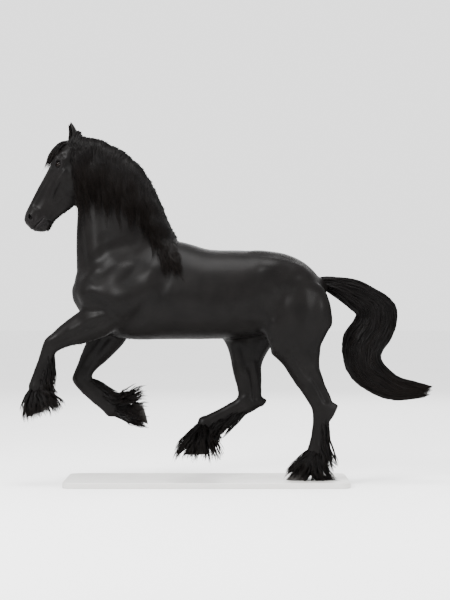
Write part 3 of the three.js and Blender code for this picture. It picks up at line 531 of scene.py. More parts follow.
# Meshes

def new_mesh(name, points, faces):
    """A mesh from points and lists of faces, each list with as many corners as its rows are long."""
    mesh = bpy.data.meshes.new(name)
    corners = np.concatenate([f.ravel() for f in faces]).astype(np.int32)
    sizes = np.concatenate([np.full(len(f), f.shape[1]) for f in faces])
    mesh.vertices.add(len(points))
    mesh.vertices.foreach_set("co", np.asarray(points, np.float32).ravel())
    mesh.loops.add(len(corners))
    mesh.loops.foreach_set("vertex_index", corners)
    mesh.polygons.add(len(sizes))
    mesh.polygons.foreach_set("loop_start", (np.cumsum(sizes) - sizes).astype(np.int32))
    mesh.update(calc_edges=True)
    mesh.shade_smooth()
    return mesh


def gather(forms):
    """Joins several (points, faces) forms into one."""
    points, faces, start = [], [], 0
    for form_points, form_faces in forms:
        points.append(form_points)
        faces += [f + start for f in form_faces]
        start += len(form_points)
    return np.concatenate(points), faces


def read_array(items, key, size, kind=np.float32):
    """One property of all points, edges or corners of a mesh, a row each."""
    values = np.empty(len(items) * size, kind)
    items.foreach_get(key, values)
    return values.reshape(-1, size)


def points_of(mesh):
    return read_array(mesh.vertices, "co", 3).astype(float)


def normals_of(mesh):
    return read_array(mesh.vertex_normals, "vector", 3).astype(float)


def edges_of(mesh):
    return read_array(mesh.edges, "vertices", 2, np.int32)


def corners_of(mesh):
    return read_array(mesh.loops, "vertex_index", 1, np.int32)[:, 0]


def set_points(mesh, points):
    mesh.vertices.foreach_set("co", points.astype(np.float32).ravel())
    mesh.update()


def add_attribute(mesh, name, values):
    kind = "FLOAT" if values.ndim == 1 else "FLOAT_VECTOR"
    attribute = mesh.attributes.new(name, kind, "POINT")
    attribute.data.foreach_set("value" if kind == "FLOAT" else "vector", values.astype(np.float32).ravel())


def to_world(mesh):
    """From millimetres above the base to metres in the part's frame."""
    mesh.transform(Matrix.Diagonal((0.001, 0.001, 0.001, 1)) @ Matrix.Translation((0, 0, GROUND)))
    mesh.update()


def add_unwrap(mesh, places):
    """The map that the coat's colours are kept on, from a place for each corner."""
    layer = mesh.uv_layers.new(name="OFBake")
    layer.data.foreach_set("uv", places.astype(np.float32).ravel())


def new_object(name, data):
    """A new object in the scene."""
    made = bpy.data.objects.new(name, data)
    bpy.context.scene.collection.objects.link(made)
    return made


def evaluated_mesh(work):
    """The plain mesh that the modifiers of a work object make. The work object is removed."""
    evaluated = work.evaluated_get(bpy.context.evaluated_depsgraph_get())
    mesh = bpy.data.meshes.new_from_object(evaluated)
    bpy.data.objects.remove(work)
    return mesh


def finished(name, mesh, material, nodes=()):
    """Makes a piece of a mesh that is in metres, on the part's one body."""
    mesh.materials.clear()
    mesh.materials.append(material)
    piece = new_object(name, mesh)
    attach(piece, "root")
    if nodes:
        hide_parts(*nodes)


# Nodes and materials

def add_sockets(tree, way, rows):
    """Named sockets of a node group, each with its kind and, if it has one, its default."""
    for label, kind, *default in rows:
        socket = tree.interface.new_socket(label, in_out=way, socket_type=kind)
        if default:
            socket.default_value = default[0]


def connect(tree, node, inputs):
    """Links another node's socket to each named input of a node, or gives the input its value."""
    for key, value in inputs.items():
        if isinstance(value, bpy.types.NodeSocket):
            tree.links.new(value, node.inputs[key])
        else:
            node.inputs[key].default_value = value
    return node


def add_node(tree, kind, inputs, **settings):
    """A new node with its settings and its inputs."""
    node = tree.nodes.new(kind)
    for key, value in settings.items():
        setattr(node, key, value)
    return connect(tree, node, inputs)


def hair_grain_group():
    """Fine streaks along the hair: a mask, and the normal that they give."""
    name = "Hair grain"
    if name in bpy.data.node_groups:
        return bpy.data.node_groups[name]
    tree = bpy.data.node_groups.new(name, "ShaderNodeTree")
    add_sockets(tree, "INPUT", (
        ("Vector", "NodeSocketVector"), ("Along", "NodeSocketFloat", 30.0),
        ("Across", "NodeSocketFloat", 600.0), ("Height", "NodeSocketFloat", 0.0006),
    ))
    add_sockets(tree, "OUTPUT", (("Streaks", "NodeSocketFloat"), ("Normal", "NodeSocketVector")))
    entry = tree.nodes.new("NodeGroupInput").outputs
    sizes = {"X": entry["Along"], "Y": entry["Across"], "Z": entry["Across"]}
    scale = add_node(tree, "ShaderNodeCombineXYZ", sizes).outputs[0]
    stretch = add_node(tree, "ShaderNodeVectorMath", {0: entry["Vector"], 1: scale}, operation="MULTIPLY")
    waves = {"Vector": stretch.outputs[0], "Scale": 1, "Detail": 3, "Roughness": 0.6}
    streaks = add_node(tree, "ShaderNodeTexNoise", waves).outputs["Fac"]
    rise = {"Strength": 0.6, "Height": streaks, "Distance": entry["Height"]}
    normal = add_node(tree, "ShaderNodeBump", rise).outputs["Normal"]
    add_node(tree, "NodeGroupOutput", {"Streaks": streaks, "Normal": normal})
    return tree


class Paint:
    """A material being made. Each way to add a node gives the socket that comes out of it."""

    def __init__(self, name, **fixed):
        self.material = bpy.data.materials.new(name)
        self.material.use_nodes = True
        self.tree = self.material.node_tree
        self.to_shader(**fixed)

    def to_shader(self, **inputs):
        """Gives the shader's inputs their values and links. In their names _ stands for a space."""
        shader = self.tree.nodes["Principled BSDF"]
        connect(self.tree, shader, {key.replace("_", " "): value for key, value in inputs.items()})
        return self.material

    def add(self, kind, inputs, output, **settings):
        return add_node(self.tree, kind, inputs, **settings).outputs[output]

    def attribute(self, name, output="Vector"):
        return self.add("ShaderNodeAttribute", {}, output, attribute_name=name)

    def place(self):
        return self.add("ShaderNodeTexCoord", {}, "Object")

    def noise(self, vector, scale):
        return self.add("ShaderNodeTexNoise", {"Vector": vector, "Scale": scale, "Detail": 3}, "Fac")

    def cloud(self, vector, scale, *stops):
        """Colours or values that drift with a noise."""
        return self.ramp(self.noise(vector, scale), *stops)

    def ramp(self, factor, *stops):
        node = add_node(self.tree, "ShaderNodeValToRGB", {"Fac": factor})
        elements = node.color_ramp.elements
        while len(elements) < len(stops):
            elements.new(0.5)
        for element, (place, colour) in zip(elements, stops):
            element.position = place
            shade = (colour, colour, colour) if isinstance(colour, float) else tuple(colour)
            element.color = (*shade, 1)
        return node.outputs["Color"]

    def mix(self, factor, first, second, blend="MIX"):
        inputs = {"Factor": factor, "A": first, "B": second}
        return self.add("ShaderNodeMix", inputs, "Result", data_type="RGBA", blend_type=blend)

    def bump(self, height, distance, strength, **normal):
        inputs = {"Height": height, "Distance": distance, "Strength": strength, **normal}
        return self.add("ShaderNodeBump", inputs, "Normal")

    def grain(self, vector, along, across, height):
        """Streaks along a vector, with both sockets that come out."""
        inputs = {"Vector": vector, "Along": along, "Across": across, "Height": height}
        return add_node(self.tree, "ShaderNodeGroup", inputs, node_tree=hair_grain_group()).outputs


def tint(colour, share):
    return tuple(channel * share for channel in colour)


def coat_material(settings):
    """Short glossy coat: it follows the lie of the hair, and the muzzle is barer and greyer."""
    paint = Paint("coat", IOR=1.05, Coat_Weight=0.11, Coat_Roughness=0.36, Coat_IOR=1.45)
    place, coat, muzzle = paint.place(), settings.coat_colour, settings.muzzle_colour
    fur = paint.cloud(place, 7, (0.3, tint(coat, 0.7)), (0.75, tint(coat, 1.35)))
    skin = paint.cloud(place, 60, (0.35, tint(muzzle, 0.7)), (0.7, muzzle))
    grain = paint.grain(paint.attribute("lie"), 34, 760, 0.0011)
    rough = paint.ramp(grain["Streaks"], (0.3, 0.4), (0.75, 0.56))
    pores = paint.bump(paint.noise(place, 420), 0.0005, 0.25, Normal=grain["Normal"])
    shade = paint.mix(paint.attribute("bare", "Fac"), fur, skin)
    return paint.to_shader(Base_Color=shade, Roughness=rough, Normal=pores)


def tuft_material(settings):
    """Short tufts without the coat's gloss: their colour is lighter than the coat's, a painted sheen in place
    of that gloss.
    """
    paint = Paint("short_hair", IOR=1.02)
    place, colour = paint.place(), settings.coat_colour
    # Painted sheen: the colour runs up to 1.7 times the coat's, lighter to stand in for the reflection of the
    # coat's gloss that the tufts lack
    shade = paint.cloud(place, 7, (0.3, colour), (0.75, tint(colour, 1.7)))
    rough = paint.cloud(place, 90, (0.3, 0.62), (0.7, 0.8))
    return paint.to_shader(Base_Color=shade, Roughness=rough)


def hair_material(settings):
    """Long hair: black, a little browner towards the tips, with fine streaks along each lock."""
    paint = Paint("long_hair", IOR=1.06, Coat_Weight=0.13, Coat_Roughness=0.32, Coat_IOR=1.45)
    tone, colour, tip = paint.attribute("tone", "Fac"), settings.hair_colour, settings.tip_colour
    shade = paint.ramp(tone, (0.0, tint(colour, 0.55)), (0.8, colour), (1.0, tint(colour, 1.7)))
    worn = paint.ramp(tone, (0.0, tint(tip, 0.7)), (1.0, tip))
    reach = paint.ramp(paint.attribute("reach", "Fac"), (0.6, 0.0), (1.0, 0.7))
    grain = paint.grain(paint.attribute("strand"), 14, 1400, 0.0009)
    rough = paint.ramp(grain["Streaks"], (0.3, 0.3), (0.75, 0.5))
    shade = paint.mix(reach, shade, worn)
    return paint.to_shader(Base_Color=shade, Roughness=rough, Normal=grain["Normal"])


def horn_material(settings):
    """Hoof horn: dark, ringed round the wall and finely lined down it."""
    paint = Paint("hoof_horn", IOR=1.26, Coat_Weight=0.06, Coat_Roughness=0.45)
    wall, colour = paint.attribute("wall"), settings.horn_colour
    shade = paint.cloud(wall, 9, (0.3, tint(colour, 0.6)), (0.55, colour), (0.8, tint(colour, 1.6)))
    grain = paint.grain(wall, 22, 240, 0.0006)
    rough = paint.ramp(grain["Streaks"], (0.3, 0.42), (0.75, 0.62))
    return paint.to_shader(Base_Color=shade, Roughness=rough, Normal=grain["Normal"])


def eye_material(settings):
    """Eye: dark brown, with a pupil that lies level and a darker rim."""
    paint = Paint("eye", Roughness=0.05, IOR=1.16)
    gaze, colour = paint.attribute("gaze"), settings.iris_colour
    parts = add_node(paint.tree, "ShaderNodeSeparateXYZ", {0: gaze}).outputs
    iris = paint.cloud(gaze, 14, (0.3, tint(colour, 0.5)), (0.7, colour))
    rim = paint.ramp(parts["X"], (0.52, 1.0), (0.7, 0.12))
    pupil = paint.ramp(parts["Y"], (0.9, 0.01), (1.0, 1.0))
    rimmed = paint.mix(1, iris, rim, "MULTIPLY")
    return paint.to_shader(Base_Color=paint.mix(1, rimmed, pupil, "MULTIPLY"))


def plate_material(settings):
    """Satin paint on the base, with a faint orange-peel surface and small differences in gloss."""
    paint = Paint("base_paint", Coat_Weight=0.25, Coat_Roughness=0.3)
    place, colour = paint.place(), settings.plate_colour
    shade = paint.cloud(place, 3, (0.3, tint(colour, 0.94)), (0.7, colour))
    rough = paint.cloud(place, 11, (0.3, 0.42), (0.7, 0.54))
    peel = paint.bump(paint.noise(place, 260), 0.0003, 0.3)
    return paint.to_shader(Base_Color=shade, Roughness=rough, Normal=peel)


# The skin

def near_line(flat, line, width):
    """1 on a line of points in a plane, falling smoothly to 0 at width beside it."""
    line = np.asarray(line, float)
    fade = np.zeros(len(flat))
    inside = np.flatnonzero(np.all((flat > line.min(0) - width) & (flat < line.max(0) + width), axis=1))
    spots = flat[inside]
    away = np.full(len(inside), np.inf)
    for a, b in zip(line[:-1], line[1:]):
        run = b - a
        share = np.clip((spots - a) @ run / (run @ run), 0, 1)
        away = np.minimum(away, np.linalg.norm(spots - a - share[:, None] * run, axis=1))
    fade[inside] = np.maximum(0, 1 - (away / width) ** 2) ** 2
    return fade


def relax(points, edges, weight, rounds, hold=0.0):
    """Moves each point towards the middle of its neighbours, by its weight, some rounds.
    With hold at 1.04 each round is followed by one the other way, so that the form keeps its size."""
    count = len(points)
    both = np.concatenate([edges, edges[:, ::-1]])
    moving = weight[both[:, 0]] > 1e-3
    here, there = both[moving, 0], both[moving, 1]
    degree = np.maximum(np.bincount(here, minlength=count), 1)[:, None]
    active = (weight > 1e-3)[:, None]
    for _ in range(rounds):
        for way in (1.0, -hold) if hold else (1.0,):
            total = np.stack([np.bincount(here, points[there, n], count) for n in range(3)], axis=1)
            points = points + np.where(active, way * weight[:, None] * (total / degree - points), 0)
    return points


def filled(points, normals, edges, weight, rounds, inward):
    """Fills hollows as smoothing would, and takes off only a share of what stands out."""
    smooth = relax(points, edges, weight, rounds)
    out = np.einsum("ij,ij->i", smooth - points, normals)
    return points + normals * np.maximum(out, out * inward)[:, None]


def near_lines(points, lines):
    """How near points are to the nearest of the lines on their side of the body."""
    weight = np.zeros(len(points))
    for line, width, side in lines:
        near = near_line(points[:, [0, 2]], line, width) ** 0.5
        weight = np.maximum(weight, near * ((points[:, 1] * side > 0) if side else 1))
    return weight


def head_place(points):
    """Along and below on the head for points of the body."""
    cos, sin = math.cos(HEAD["slope"]), math.sin(HEAD["slope"])
    dx, dz = points[:, 0] - HEAD["poll"][0], points[:, 2] - HEAD["poll"][1]
    return np.stack([-dx * cos - dz * sin, dx * sin - dz * cos], axis=1)


def refine_where(mesh, chosen):
    """Splits the faces between the chosen points in four."""
    work = bmesh.new()
    work.from_mesh(mesh)
    work.edges.ensure_lookup_table()
    edges = [e for e in work.edges if chosen[e.verts[0].index] and chosen[e.verts[1].index]]
    bmesh.ops.subdivide_edges(work, edges=edges, cuts=1, use_grid_fill=True)
    work.to_mesh(mesh)
    work.free()
    mesh.update()


def in_head(points, area):
    """Which points of the body are in an area of the head."""
    along, below = AREAS[area]
    place = head_place(points)
    return (
        (place[:, 0] > along[0]) & (place[:, 0] < along[1]) & (place[:, 1] > below[0])
        & (place[:, 1] < below[1]) & (np.abs(points[:, 1]) < HEAD_REACH)
    )


def leg_line(leg, line):
    """A line of a leg's relief as x and z."""
    spots = []
    for bone, share, offset in line:
        x, z, _, front = bone_at(leg["joints"], bone, share)
        spots.append((x + front[0] * offset, z + front[1] * offset))
    return spots


def body_forms(grow):
    """All the forms of the flesh, without the ears. The dock runs inside the root of the tail."""
    dock = between(TAIL, np.arange(0, 7))
    middle = (dock[:, 0:2] + dock[:, 2:4]) / 2
    half = (dock[:, 0:2] - dock[:, 2:4]) / 2 * np.linspace(0.8, 0.2, len(dock))[:, None]
    dock_ribs = [
        rib(m + h, m - h, 30 - 3.4 * n, y=section[4])
        for n, (m, h, section) in enumerate(zip(middle, half, dock))
    ]
    forms = [
        loft(TORSO, (40, 30), grow, TORSO_BULGES, sides=64, steps=8),
        loft(NECK, (30, 60), grow, sides=56, steps=8),
        loft(SKULL, (22, 6), grow, SKULL_BULGES, sides=56, steps=8),
        loft(dock_ribs, (10, 16), grow, sides=24),
    ]
    for leg in LEGS:
        for joints, flesh, domes in leg["flesh"]:
            forms.append(loft(limb_ribs(joints, leg["side"], flesh), domes, grow))
    return forms


def remeshed(points, faces, voxel):
    """One closed surface round overlapping forms."""
    work = new_object("work", new_mesh("work", points, faces))
    remesh = work.modifiers.new("one surface", "REMESH")
    remesh.mode = "VOXEL"
    remesh.voxel_size = voxel
    return evaluated_mesh(work)


def sculpt(points, normals, strength):
    """The height of the muscles, tendons and bones over the plain flesh at each point."""
    side_view, side = points[:, [0, 2]], np.abs(points[:, 1])
    facing = np.clip(np.abs(normals[:, 1]) * 1.7, 0, 1)
    above = np.clip(normals[:, 2] * 2 - 0.6, 0, 1)
    ahead = np.clip(-normals[:, 0] * 2 - 0.5, 0, 1) * (points[:, 0] < -700)
    views = [(side_view, BODY_RELIEF, facing), (head_place(points), HEAD_RELIEF, facing * (side < 140))]
    for leg in LEGS:
        relief = [(leg_line(leg, line), width, out) for line, width, out in leg["relief"]]
        views.append((side_view, relief, facing * (points[:, 1] * leg["side"] > 0)))
    views.append((np.stack([points[:, 0], side], axis=1), BACK_RELIEF, above))
    views.append((np.stack([side, points[:, 2]], axis=1), BREAST_RELIEF, ahead))
    height = np.zeros(len(points))
    for view, relief, seen in views:
        for line, width, out in relief:
            height += near_line(view, line, width) * out * seen
    return height * strength


def from_opening(place, shape):
    """How far from the middle of an eye or a nostril a place on the head is: 1 on its edge."""
    lean = math.radians(shape["lean"])
    a, b = place[:, 0] - shape["along"], place[:, 1] - shape["below"]
    along = (a * math.cos(lean) + b * math.sin(lean)) / shape["long"]
    across = (b * math.cos(lean) - a * math.sin(lean)) / shape["tall"]
    return np.hypot(along, across)


def open_face(points):
    """Presses the sockets of the eyes and the nostrils into the head."""
    place = head_place(points)
    side = np.abs(points[:, 1])
    on_face = in_head(points, "face")
    eye = ease((1.5 - from_opening(place, LID)) / 0.4) * on_face * (side > 40)
    points[:, 1] -= np.sign(points[:, 1]) * eye * np.maximum(side - EYE["socket"], 0)
    nostril = ease((1.1 - from_opening(place, NOSTRIL)) / 0.6) * on_face * (side > 16)
    points[:, 1] -= np.sign(points[:, 1]) * nostril * NOSTRIL["deep"]
    return points


def lip_height(points):
    """How far the lips stand out above and below the line of the mouth, and how deep that line is."""
    place = head_place(points)
    from_corner = place[:, 0] - MOUTH_CORNER
    lips = 0
    for shift, width, out in LIPS:
        edge = [(along, below + shift) for along, below in MOUTH]
        lips += near_line(place, edge, width) * ease(from_corner / 70) * out
    line = near_line(place, MOUTH, 3.8) * in_head(points, "lips") * ease(from_corner / 24)
    return lips * in_head(points, "lip_edges") - line * 6.5


def bareness(points):
    """How bare the skin is: on the muzzle, round the eyes and along the mouth."""
    place = head_place(points)
    muzzle = ease((place[:, 0] - 560) / 60) * in_head(points, "muzzle")
    eyes = ease((2.2 - from_opening(place, LID)) / 0.8) * in_head(points, "eye")
    mouth = near_line(place, MOUTH, 22) * in_head(points, "mouth")
    return np.clip(muzzle * 0.8 + eyes + mouth, 0, 1)


def ring_form(rows):
    """A closed ring of flesh from rows of points, each row running once round it."""
    rows = np.asarray(rows)
    count, steps = rows.shape[:2]
    at = np.arange(count * steps).reshape(count, steps)
    round_it, across = np.roll(at, -1, axis=1), np.roll(at, -1, axis=0)
    return rows.reshape(-1, 3), [quads(at, round_it, np.roll(across, -1, axis=1), across)]


def outward(form):
    """Turns a closed form's faces to the outside."""
    points, faces = form
    volume = 0
    for group in faces:
        for n in range(1, group.shape[1] - 1):
            a, b, c = points[group[:, 0]], points[group[:, n]], points[group[:, n + 1]]
            volume += np.einsum("ij,ij->", a, np.cross(b, c))
    return form if volume > 0 else (points, [group[:, ::-1] for group in faces])


def globe_height(radius, a, b):
    """How far out an eyeball stands beside its middle, and no less than 3 mm."""
    return np.sqrt(np.maximum(radius ** 2 - np.hypot(a, b) ** 2, 9))


# Rows of the lids and of the rims of the nostrils: scale, height over the skin, share on the eyeball
LID_ROWS = [
    (0.99, 0.4, 1), (1.0, 2.2, 1), (1.07, 3.6, 1), (1.2, 3.9, 0.85), (1.3, 2.6, 0.7), (1.42, 4.0, 0.4),
    (1.6, 3.4, 0.15), (1.85, 1.9, 0), (2.2, 1.1, 0), (2.7, 0.3, 0), (3.2, -1.4, 0), (3.1, -9, 0),
    (1.1, -12, 0.6),
]
WING_ROWS = [
    (0.72, -12, 0), (0.86, -3, 0), (0.97, 2.2, 0), (1.1, 3.6, 0), (1.24, 2.9, 0), (1.4, 1.2, 0),
    (1.55, -0.8, 0), (1.7, -4, 0), (1.6, -11, 0), (0.9, -16, 0),
]


def fold(side, shape, rows, level, ball=None):
    """Lids on an eyeball, or the rim of a nostril. level gives the height of the skin, and ball holds
    the place and the size of the eyeball."""
    turn = circle(56)
    tip = math.radians(shape["lean"])
    a0 = np.cos(turn) * shape["long"]
    if ball:
        b0 = signed_power(np.sin(turn), 1.15) * shape["tall"] * np.where(np.sin(turn) < 0, 1.06, 0.9)
    else:
        b0 = np.sin(turn) * shape["tall"] * (1 + 0.38 * np.cos(turn)) + 5 * np.cos(turn) ** 2
    made = []
    for scale, height, share in rows:
        a = (a0 * math.cos(tip) - b0 * math.sin(tip)) * scale
        b = (a0 * math.sin(tip) + b0 * math.cos(tip)) * scale
        along, below = shape["along"] + a, shape["below"] + b
        skin = level(along, below, side)
        if ball:
            skin = skin * (1 - share) + (ball[0] + globe_height(ball[1], a, b)) * share
            if height > 0:
                height = height * (1 - 0.25 * np.sin(turn))
        x, z = on_head(along, below)
        made.append(np.stack([x, side * (skin + height), z], axis=1))
    return outward(ring_form(made))


def face_folds(level):
    """Lids round both eyes and rims round both nostrils."""
    ball = (EYE["side"], EYE["radius"] + 0.3)
    forms = []
    for side in (NEAR, FAR):
        forms.append(fold(side, LID, LID_ROWS, level, ball))
        forms.append(fold(side, NOSTRIL, WING_ROWS, level))
    return forms


def ear_place(side):
    x, z = on_head(EAR["along"], EAR["below"])
    return (
        Matrix.Translation((x, side * EAR["side"], z)) @ Matrix.Rotation(side * -0.1, 4, "X")
        @ Matrix.Rotation(math.radians(-4), 4, "Y") @ Matrix.Rotation(side * -0.5, 4, "Z")
    )


def moved(points, matrix):
    m = np.array(matrix)
    return points @ m[:3, :3].T + m[:3, 3]


def ear_form(side):
    """A pointed cup of skin, open to the front and outwards, with its rim turned in a little."""
    profile = [
        (-0.5, 1.1), (-0.3, 1.3), (-0.12, 1.2), (0.02, 1.02), (0.18, 0.98), (0.36, 1.04), (0.54, 0.95),
        (0.72, 0.7), (0.86, 0.4), (0.95, 0.18), (1, 0.05),
    ]
    rows = between(profile, np.linspace(0, len(profile) - 1, 40))
    height, size = rows[:, :1] * EAR["length"], rows[:, 1:] * EAR["width"] / 2
    share = np.clip(rows[:, :1], 0, 1)
    gap = np.radians(1.5 + 66 * ease((share - 0.02) / 0.36) * (1 - 0.5 * ease((share - 0.6) / 0.4)))
    swing = gap + (2 * np.pi - 2 * gap) * np.linspace(0, 1, 33)
    thick = 4.2 - 2.4 * share
    sheets = []
    for inset in (0.0, 1.0):
        radius = np.maximum(size - inset * np.minimum(thick, size * 0.6), 0.4)
        x = -np.cos(swing) * radius * 0.92
        y = np.sin(swing) * radius
        bend = -side * 9 * share ** 2
        sheets.append(np.stack([x + 3 * share, y + bend, np.broadcast_to(height, x.shape)], axis=-1))
    count, steps = sheets[0].shape[:2]
    at = np.arange(count * steps).reshape(count, steps)
    back = at + count * steps
    faces = [
        quads(at[:-1, :-1], at[:-1, 1:], at[1:, 1:], at[1:, :-1]),
        quads(back[:-1, :-1], back[1:, :-1], back[1:, 1:], back[:-1, 1:]),
    ]
    rims = (
        (at[:, 0], back[:, 0]), (at[-1], back[-1]), (at[::-1, -1], back[::-1, -1]),
        (at[0, ::-1], back[0, ::-1]),
    )
    faces += [quads(edge[:-1], edge[1:], inside[1:], inside[:-1]) for edge, inside in rims]
    points = np.concatenate([sheet.reshape(-1, 3) for sheet in sheets])
    return outward((moved(points, ear_place(side)), faces))


def lie_of_coat(points):
    """Places measured along the lie of the coat, across it and over it, in metres."""
    # It runs back along the body, down the neck, down the face and along the bones of the legs
    ways = np.tile([1.0, 0.0], (len(points), 1))
    x, z = points[:, 0], points[:, 2]
    on_neck = (x < -380) & (z > 1300 + (x + 980) * 0.35)
    ways[on_neck] = (0.37, -0.93)
    ways[in_head(points, "coat")] = (-math.cos(HEAD["slope"]), -math.sin(HEAD["slope"]))
    for leg in LEGS:
        spots = np.asarray(leg["joints"], float)
        mine = points[:, 1] * leg["side"] > 20
        for a, b in zip(spots[:-1], spots[1:]):
            run = b[:2] - a[:2]
            away = points[:, [0, 2]] - a[:2]
            share = np.clip(away @ run / (run @ run), 0, 1)
            near = np.linalg.norm(away - share[:, None] * run, axis=1) < (150 if a[1] > 850 else 95)
            ways[mine & near & (z < 1090)] = unit(run)
    along = np.einsum("ij,ij->i", points[:, [0, 2]], ways)
    over = points[:, 0] * -ways[:, 1] + points[:, 2] * ways[:, 0]
    return np.stack([along, points[:, 1], over], axis=1) / 1000


def plain_skin(settings):
    """One smooth closed surface over all the flesh, finer on the head, on the nose and round the eyes.
    Gives the mesh, its points and its edges."""
    mesh = remeshed(*gather(body_forms(-settings.coat_depth * 1000)), settings.voxel * 1000)
    points, edges = points_of(mesh), edges_of(mesh)
    # Forms run into each other, then the joints are filled, and all is smoothed without shrinking
    points = filled(points, normals_of(mesh), edges, near_lines(points, BLENDS), 120, 0.12)
    points = relax(points, edges, np.full(len(points), 0.5), 6, hold=1.04)
    set_points(mesh, points)
    points = filled(points, normals_of(mesh), edges, near_lines(points, JOINTS), 70, 0.3)
    points = relax(points, edges, near_lines(points, JOINTS) * 0.5, 10)
    points = relax(points, edges, np.full(len(points), 0.5), 12, hold=1.03)
    set_points(mesh, points)
    for area in ("head", "nose"):
        refine_where(mesh, in_head(points_of(mesh), area))
    points = points_of(mesh)
    refine_where(mesh, (from_opening(head_place(points), LID) < 3.4) & in_head(points, "eye"))
    points, edges = points_of(mesh), edges_of(mesh)
    points = relax(points, edges, np.where(in_head(points, "head"), 0.5, 0.0), 8, hold=1.04)
    set_points(mesh, points)
    return mesh, points, edges


def add_forms(mesh, points, faces):
    """Adds closed forms to a mesh."""
    added = new_mesh("added", points, faces)
    work = bmesh.new()
    work.from_mesh(mesh)
    work.from_mesh(added)
    work.to_mesh(mesh)
    work.free()
    bpy.data.meshes.remove(added)


def build_skin(settings):
    """The one skin over head, neck, torso, dock and legs, with lids, nostrils, lips and ears."""
    mesh, points, edges = plain_skin(settings)
    normals = normals_of(mesh)
    points = points + normals * sculpt(points, normals, settings.muscle)[:, None]
    points = relax(points, edges, np.full(len(points), 0.3), 2)
    set_points(mesh, points)
    tree = BVHTree.FromPolygons(points.tolist(), [tuple(p.vertices) for p in mesh.polygons])

    def level(along, below, side):
        """How far out the skin is at places on the head, and 20 mm off its outline."""
        hits = [tree.ray_cast((x, side * 400, z), (0, -side, 0))[0] for x, z in zip(*on_head(along, below))]
        return np.array([abs(hit.y) if hit else 20.0 for hit in hits])

    folds = face_folds(level)
    set_points(mesh, open_face(points + normals_of(mesh) * lip_height(points)[:, None]))
    body = points_of(mesh)
    extra, faces = gather([*folds, ear_form(NEAR), ear_form(FAR)])
    add_forms(mesh, extra, faces)
    points = np.concatenate([body, extra])
    add_attribute(mesh, "bare", bareness(points))
    add_attribute(mesh, "lie", lie_of_coat(points))
    mesh.shade_smooth()
    to_world(mesh)
    return mesh


# Hair

# Where each part of the body lies on the unwrap that the coat's colours are kept on: left, low, wide, high
UNWRAP = {
    "neck": (0.02, 0.62, 0.3, 0.36), "head": (0.35, 0.62, 0.2, 0.36), "tail": (0.58, 0.62, 0.4, 0.36),
    "fore_left": (0.02, 0.32, 0.22, 0.27), "fore_right": (0.27, 0.32, 0.22, 0.27),
    "hind_left": (0.52, 0.32, 0.22, 0.27), "hind_right": (0.77, 0.32, 0.21, 0.27),
    "torso": (0.02, 0.02, 0.96, 0.27),
}
# Size of the small patch on the unwrap that each strand has at its root's place
PATCH = 0.003
# How far apart the strands lie in the grain, across it and over it, in metres
STRAND_STEP = (0.37, 0.11)
# The lowest that a hair reaches above the base
HAIR_FLOOR = 2.5


def unwrapped(part, u, v):
    left, low, wide, high = UNWRAP[part]
    return np.stack([left + wide * np.clip(u, 0, 1), low + high * np.clip(v, 0, 1)], axis=-1)


def locks_mesh(name, paths, faces, wide, thick, roots, tone):
    """Joined tapered locks: a three-sided section along each path, closed at the root and the tip.
    faces point away from the body, and roots are the places of the roots on the unwrap."""
    count, steps = paths.shape[:2]
    rings = steps - 1
    run = unit(np.gradient(paths, axis=1))
    across = unit(np.cross(run, faces))
    ridge = np.cross(across, run)
    share = np.linspace(0, 1, steps)
    # A lock swells a little from its root and tapers to its tip
    body = (np.minimum(1, 0.55 + 2.4 * share) * (1 - share ** 2.1))[None, :, None]
    half = across * body * (np.asarray(wide)[:, None, None] / 2)
    high = ridge * body * np.asarray(thick)[:, None, None]
    ring = np.stack([paths + half, paths + high, paths - half], axis=2)[:, :rings]
    points = np.concatenate([ring.reshape(count, rings * 3, 3), paths[:, -1:]], axis=1)
    at = np.arange(rings * 3).reshape(rings, 3)
    beside = np.roll(at, -1, axis=1)
    walls = quads(at[:-1], at[1:], beside[1:], beside[:-1])
    tips = np.stack([at[-1], np.full(3, rings * 3), beside[-1]], axis=-1)
    ends = np.concatenate([tips, at[:1]])
    step = (np.arange(count) * (rings * 3 + 1))[:, None, None]
    groups = [(walls[None] + step).reshape(-1, 4), (ends[None] + step).reshape(-1, 3)]
    mesh = new_mesh(name, points.reshape(-1, 3), groups)
    along = np.append(np.repeat(share[:rings], 3), 1.0)
    beside_it = np.append(np.tile([0.0, 0.5, 1.0], rings), 0.5)
    length = np.linalg.norm(np.diff(paths, axis=1), axis=2).sum(1)
    add_attribute(mesh, "tone", np.repeat(tone, rings * 3 + 1))
    add_attribute(mesh, "reach", np.tile(along, count))
    number = np.arange(count)[:, None]
    strand = np.stack([
        np.outer(length, along) / 1000,
        np.outer(wide, beside_it) / 1000 + number * STRAND_STEP[0],
        np.broadcast_to(number * STRAND_STEP[1], (count, len(along))),
    ], axis=-1)
    for key in ("strand", "lie"):
        add_attribute(mesh, key, strand.reshape(-1, 3))
    patch = np.stack([beside_it - 0.5, along - 0.5], axis=-1) * PATCH
    places = (np.asarray(roots)[:, None] + patch[None]).reshape(-1, 2)
    add_unwrap(mesh, places[corners_of(mesh)])
    to_world(mesh)
    return mesh


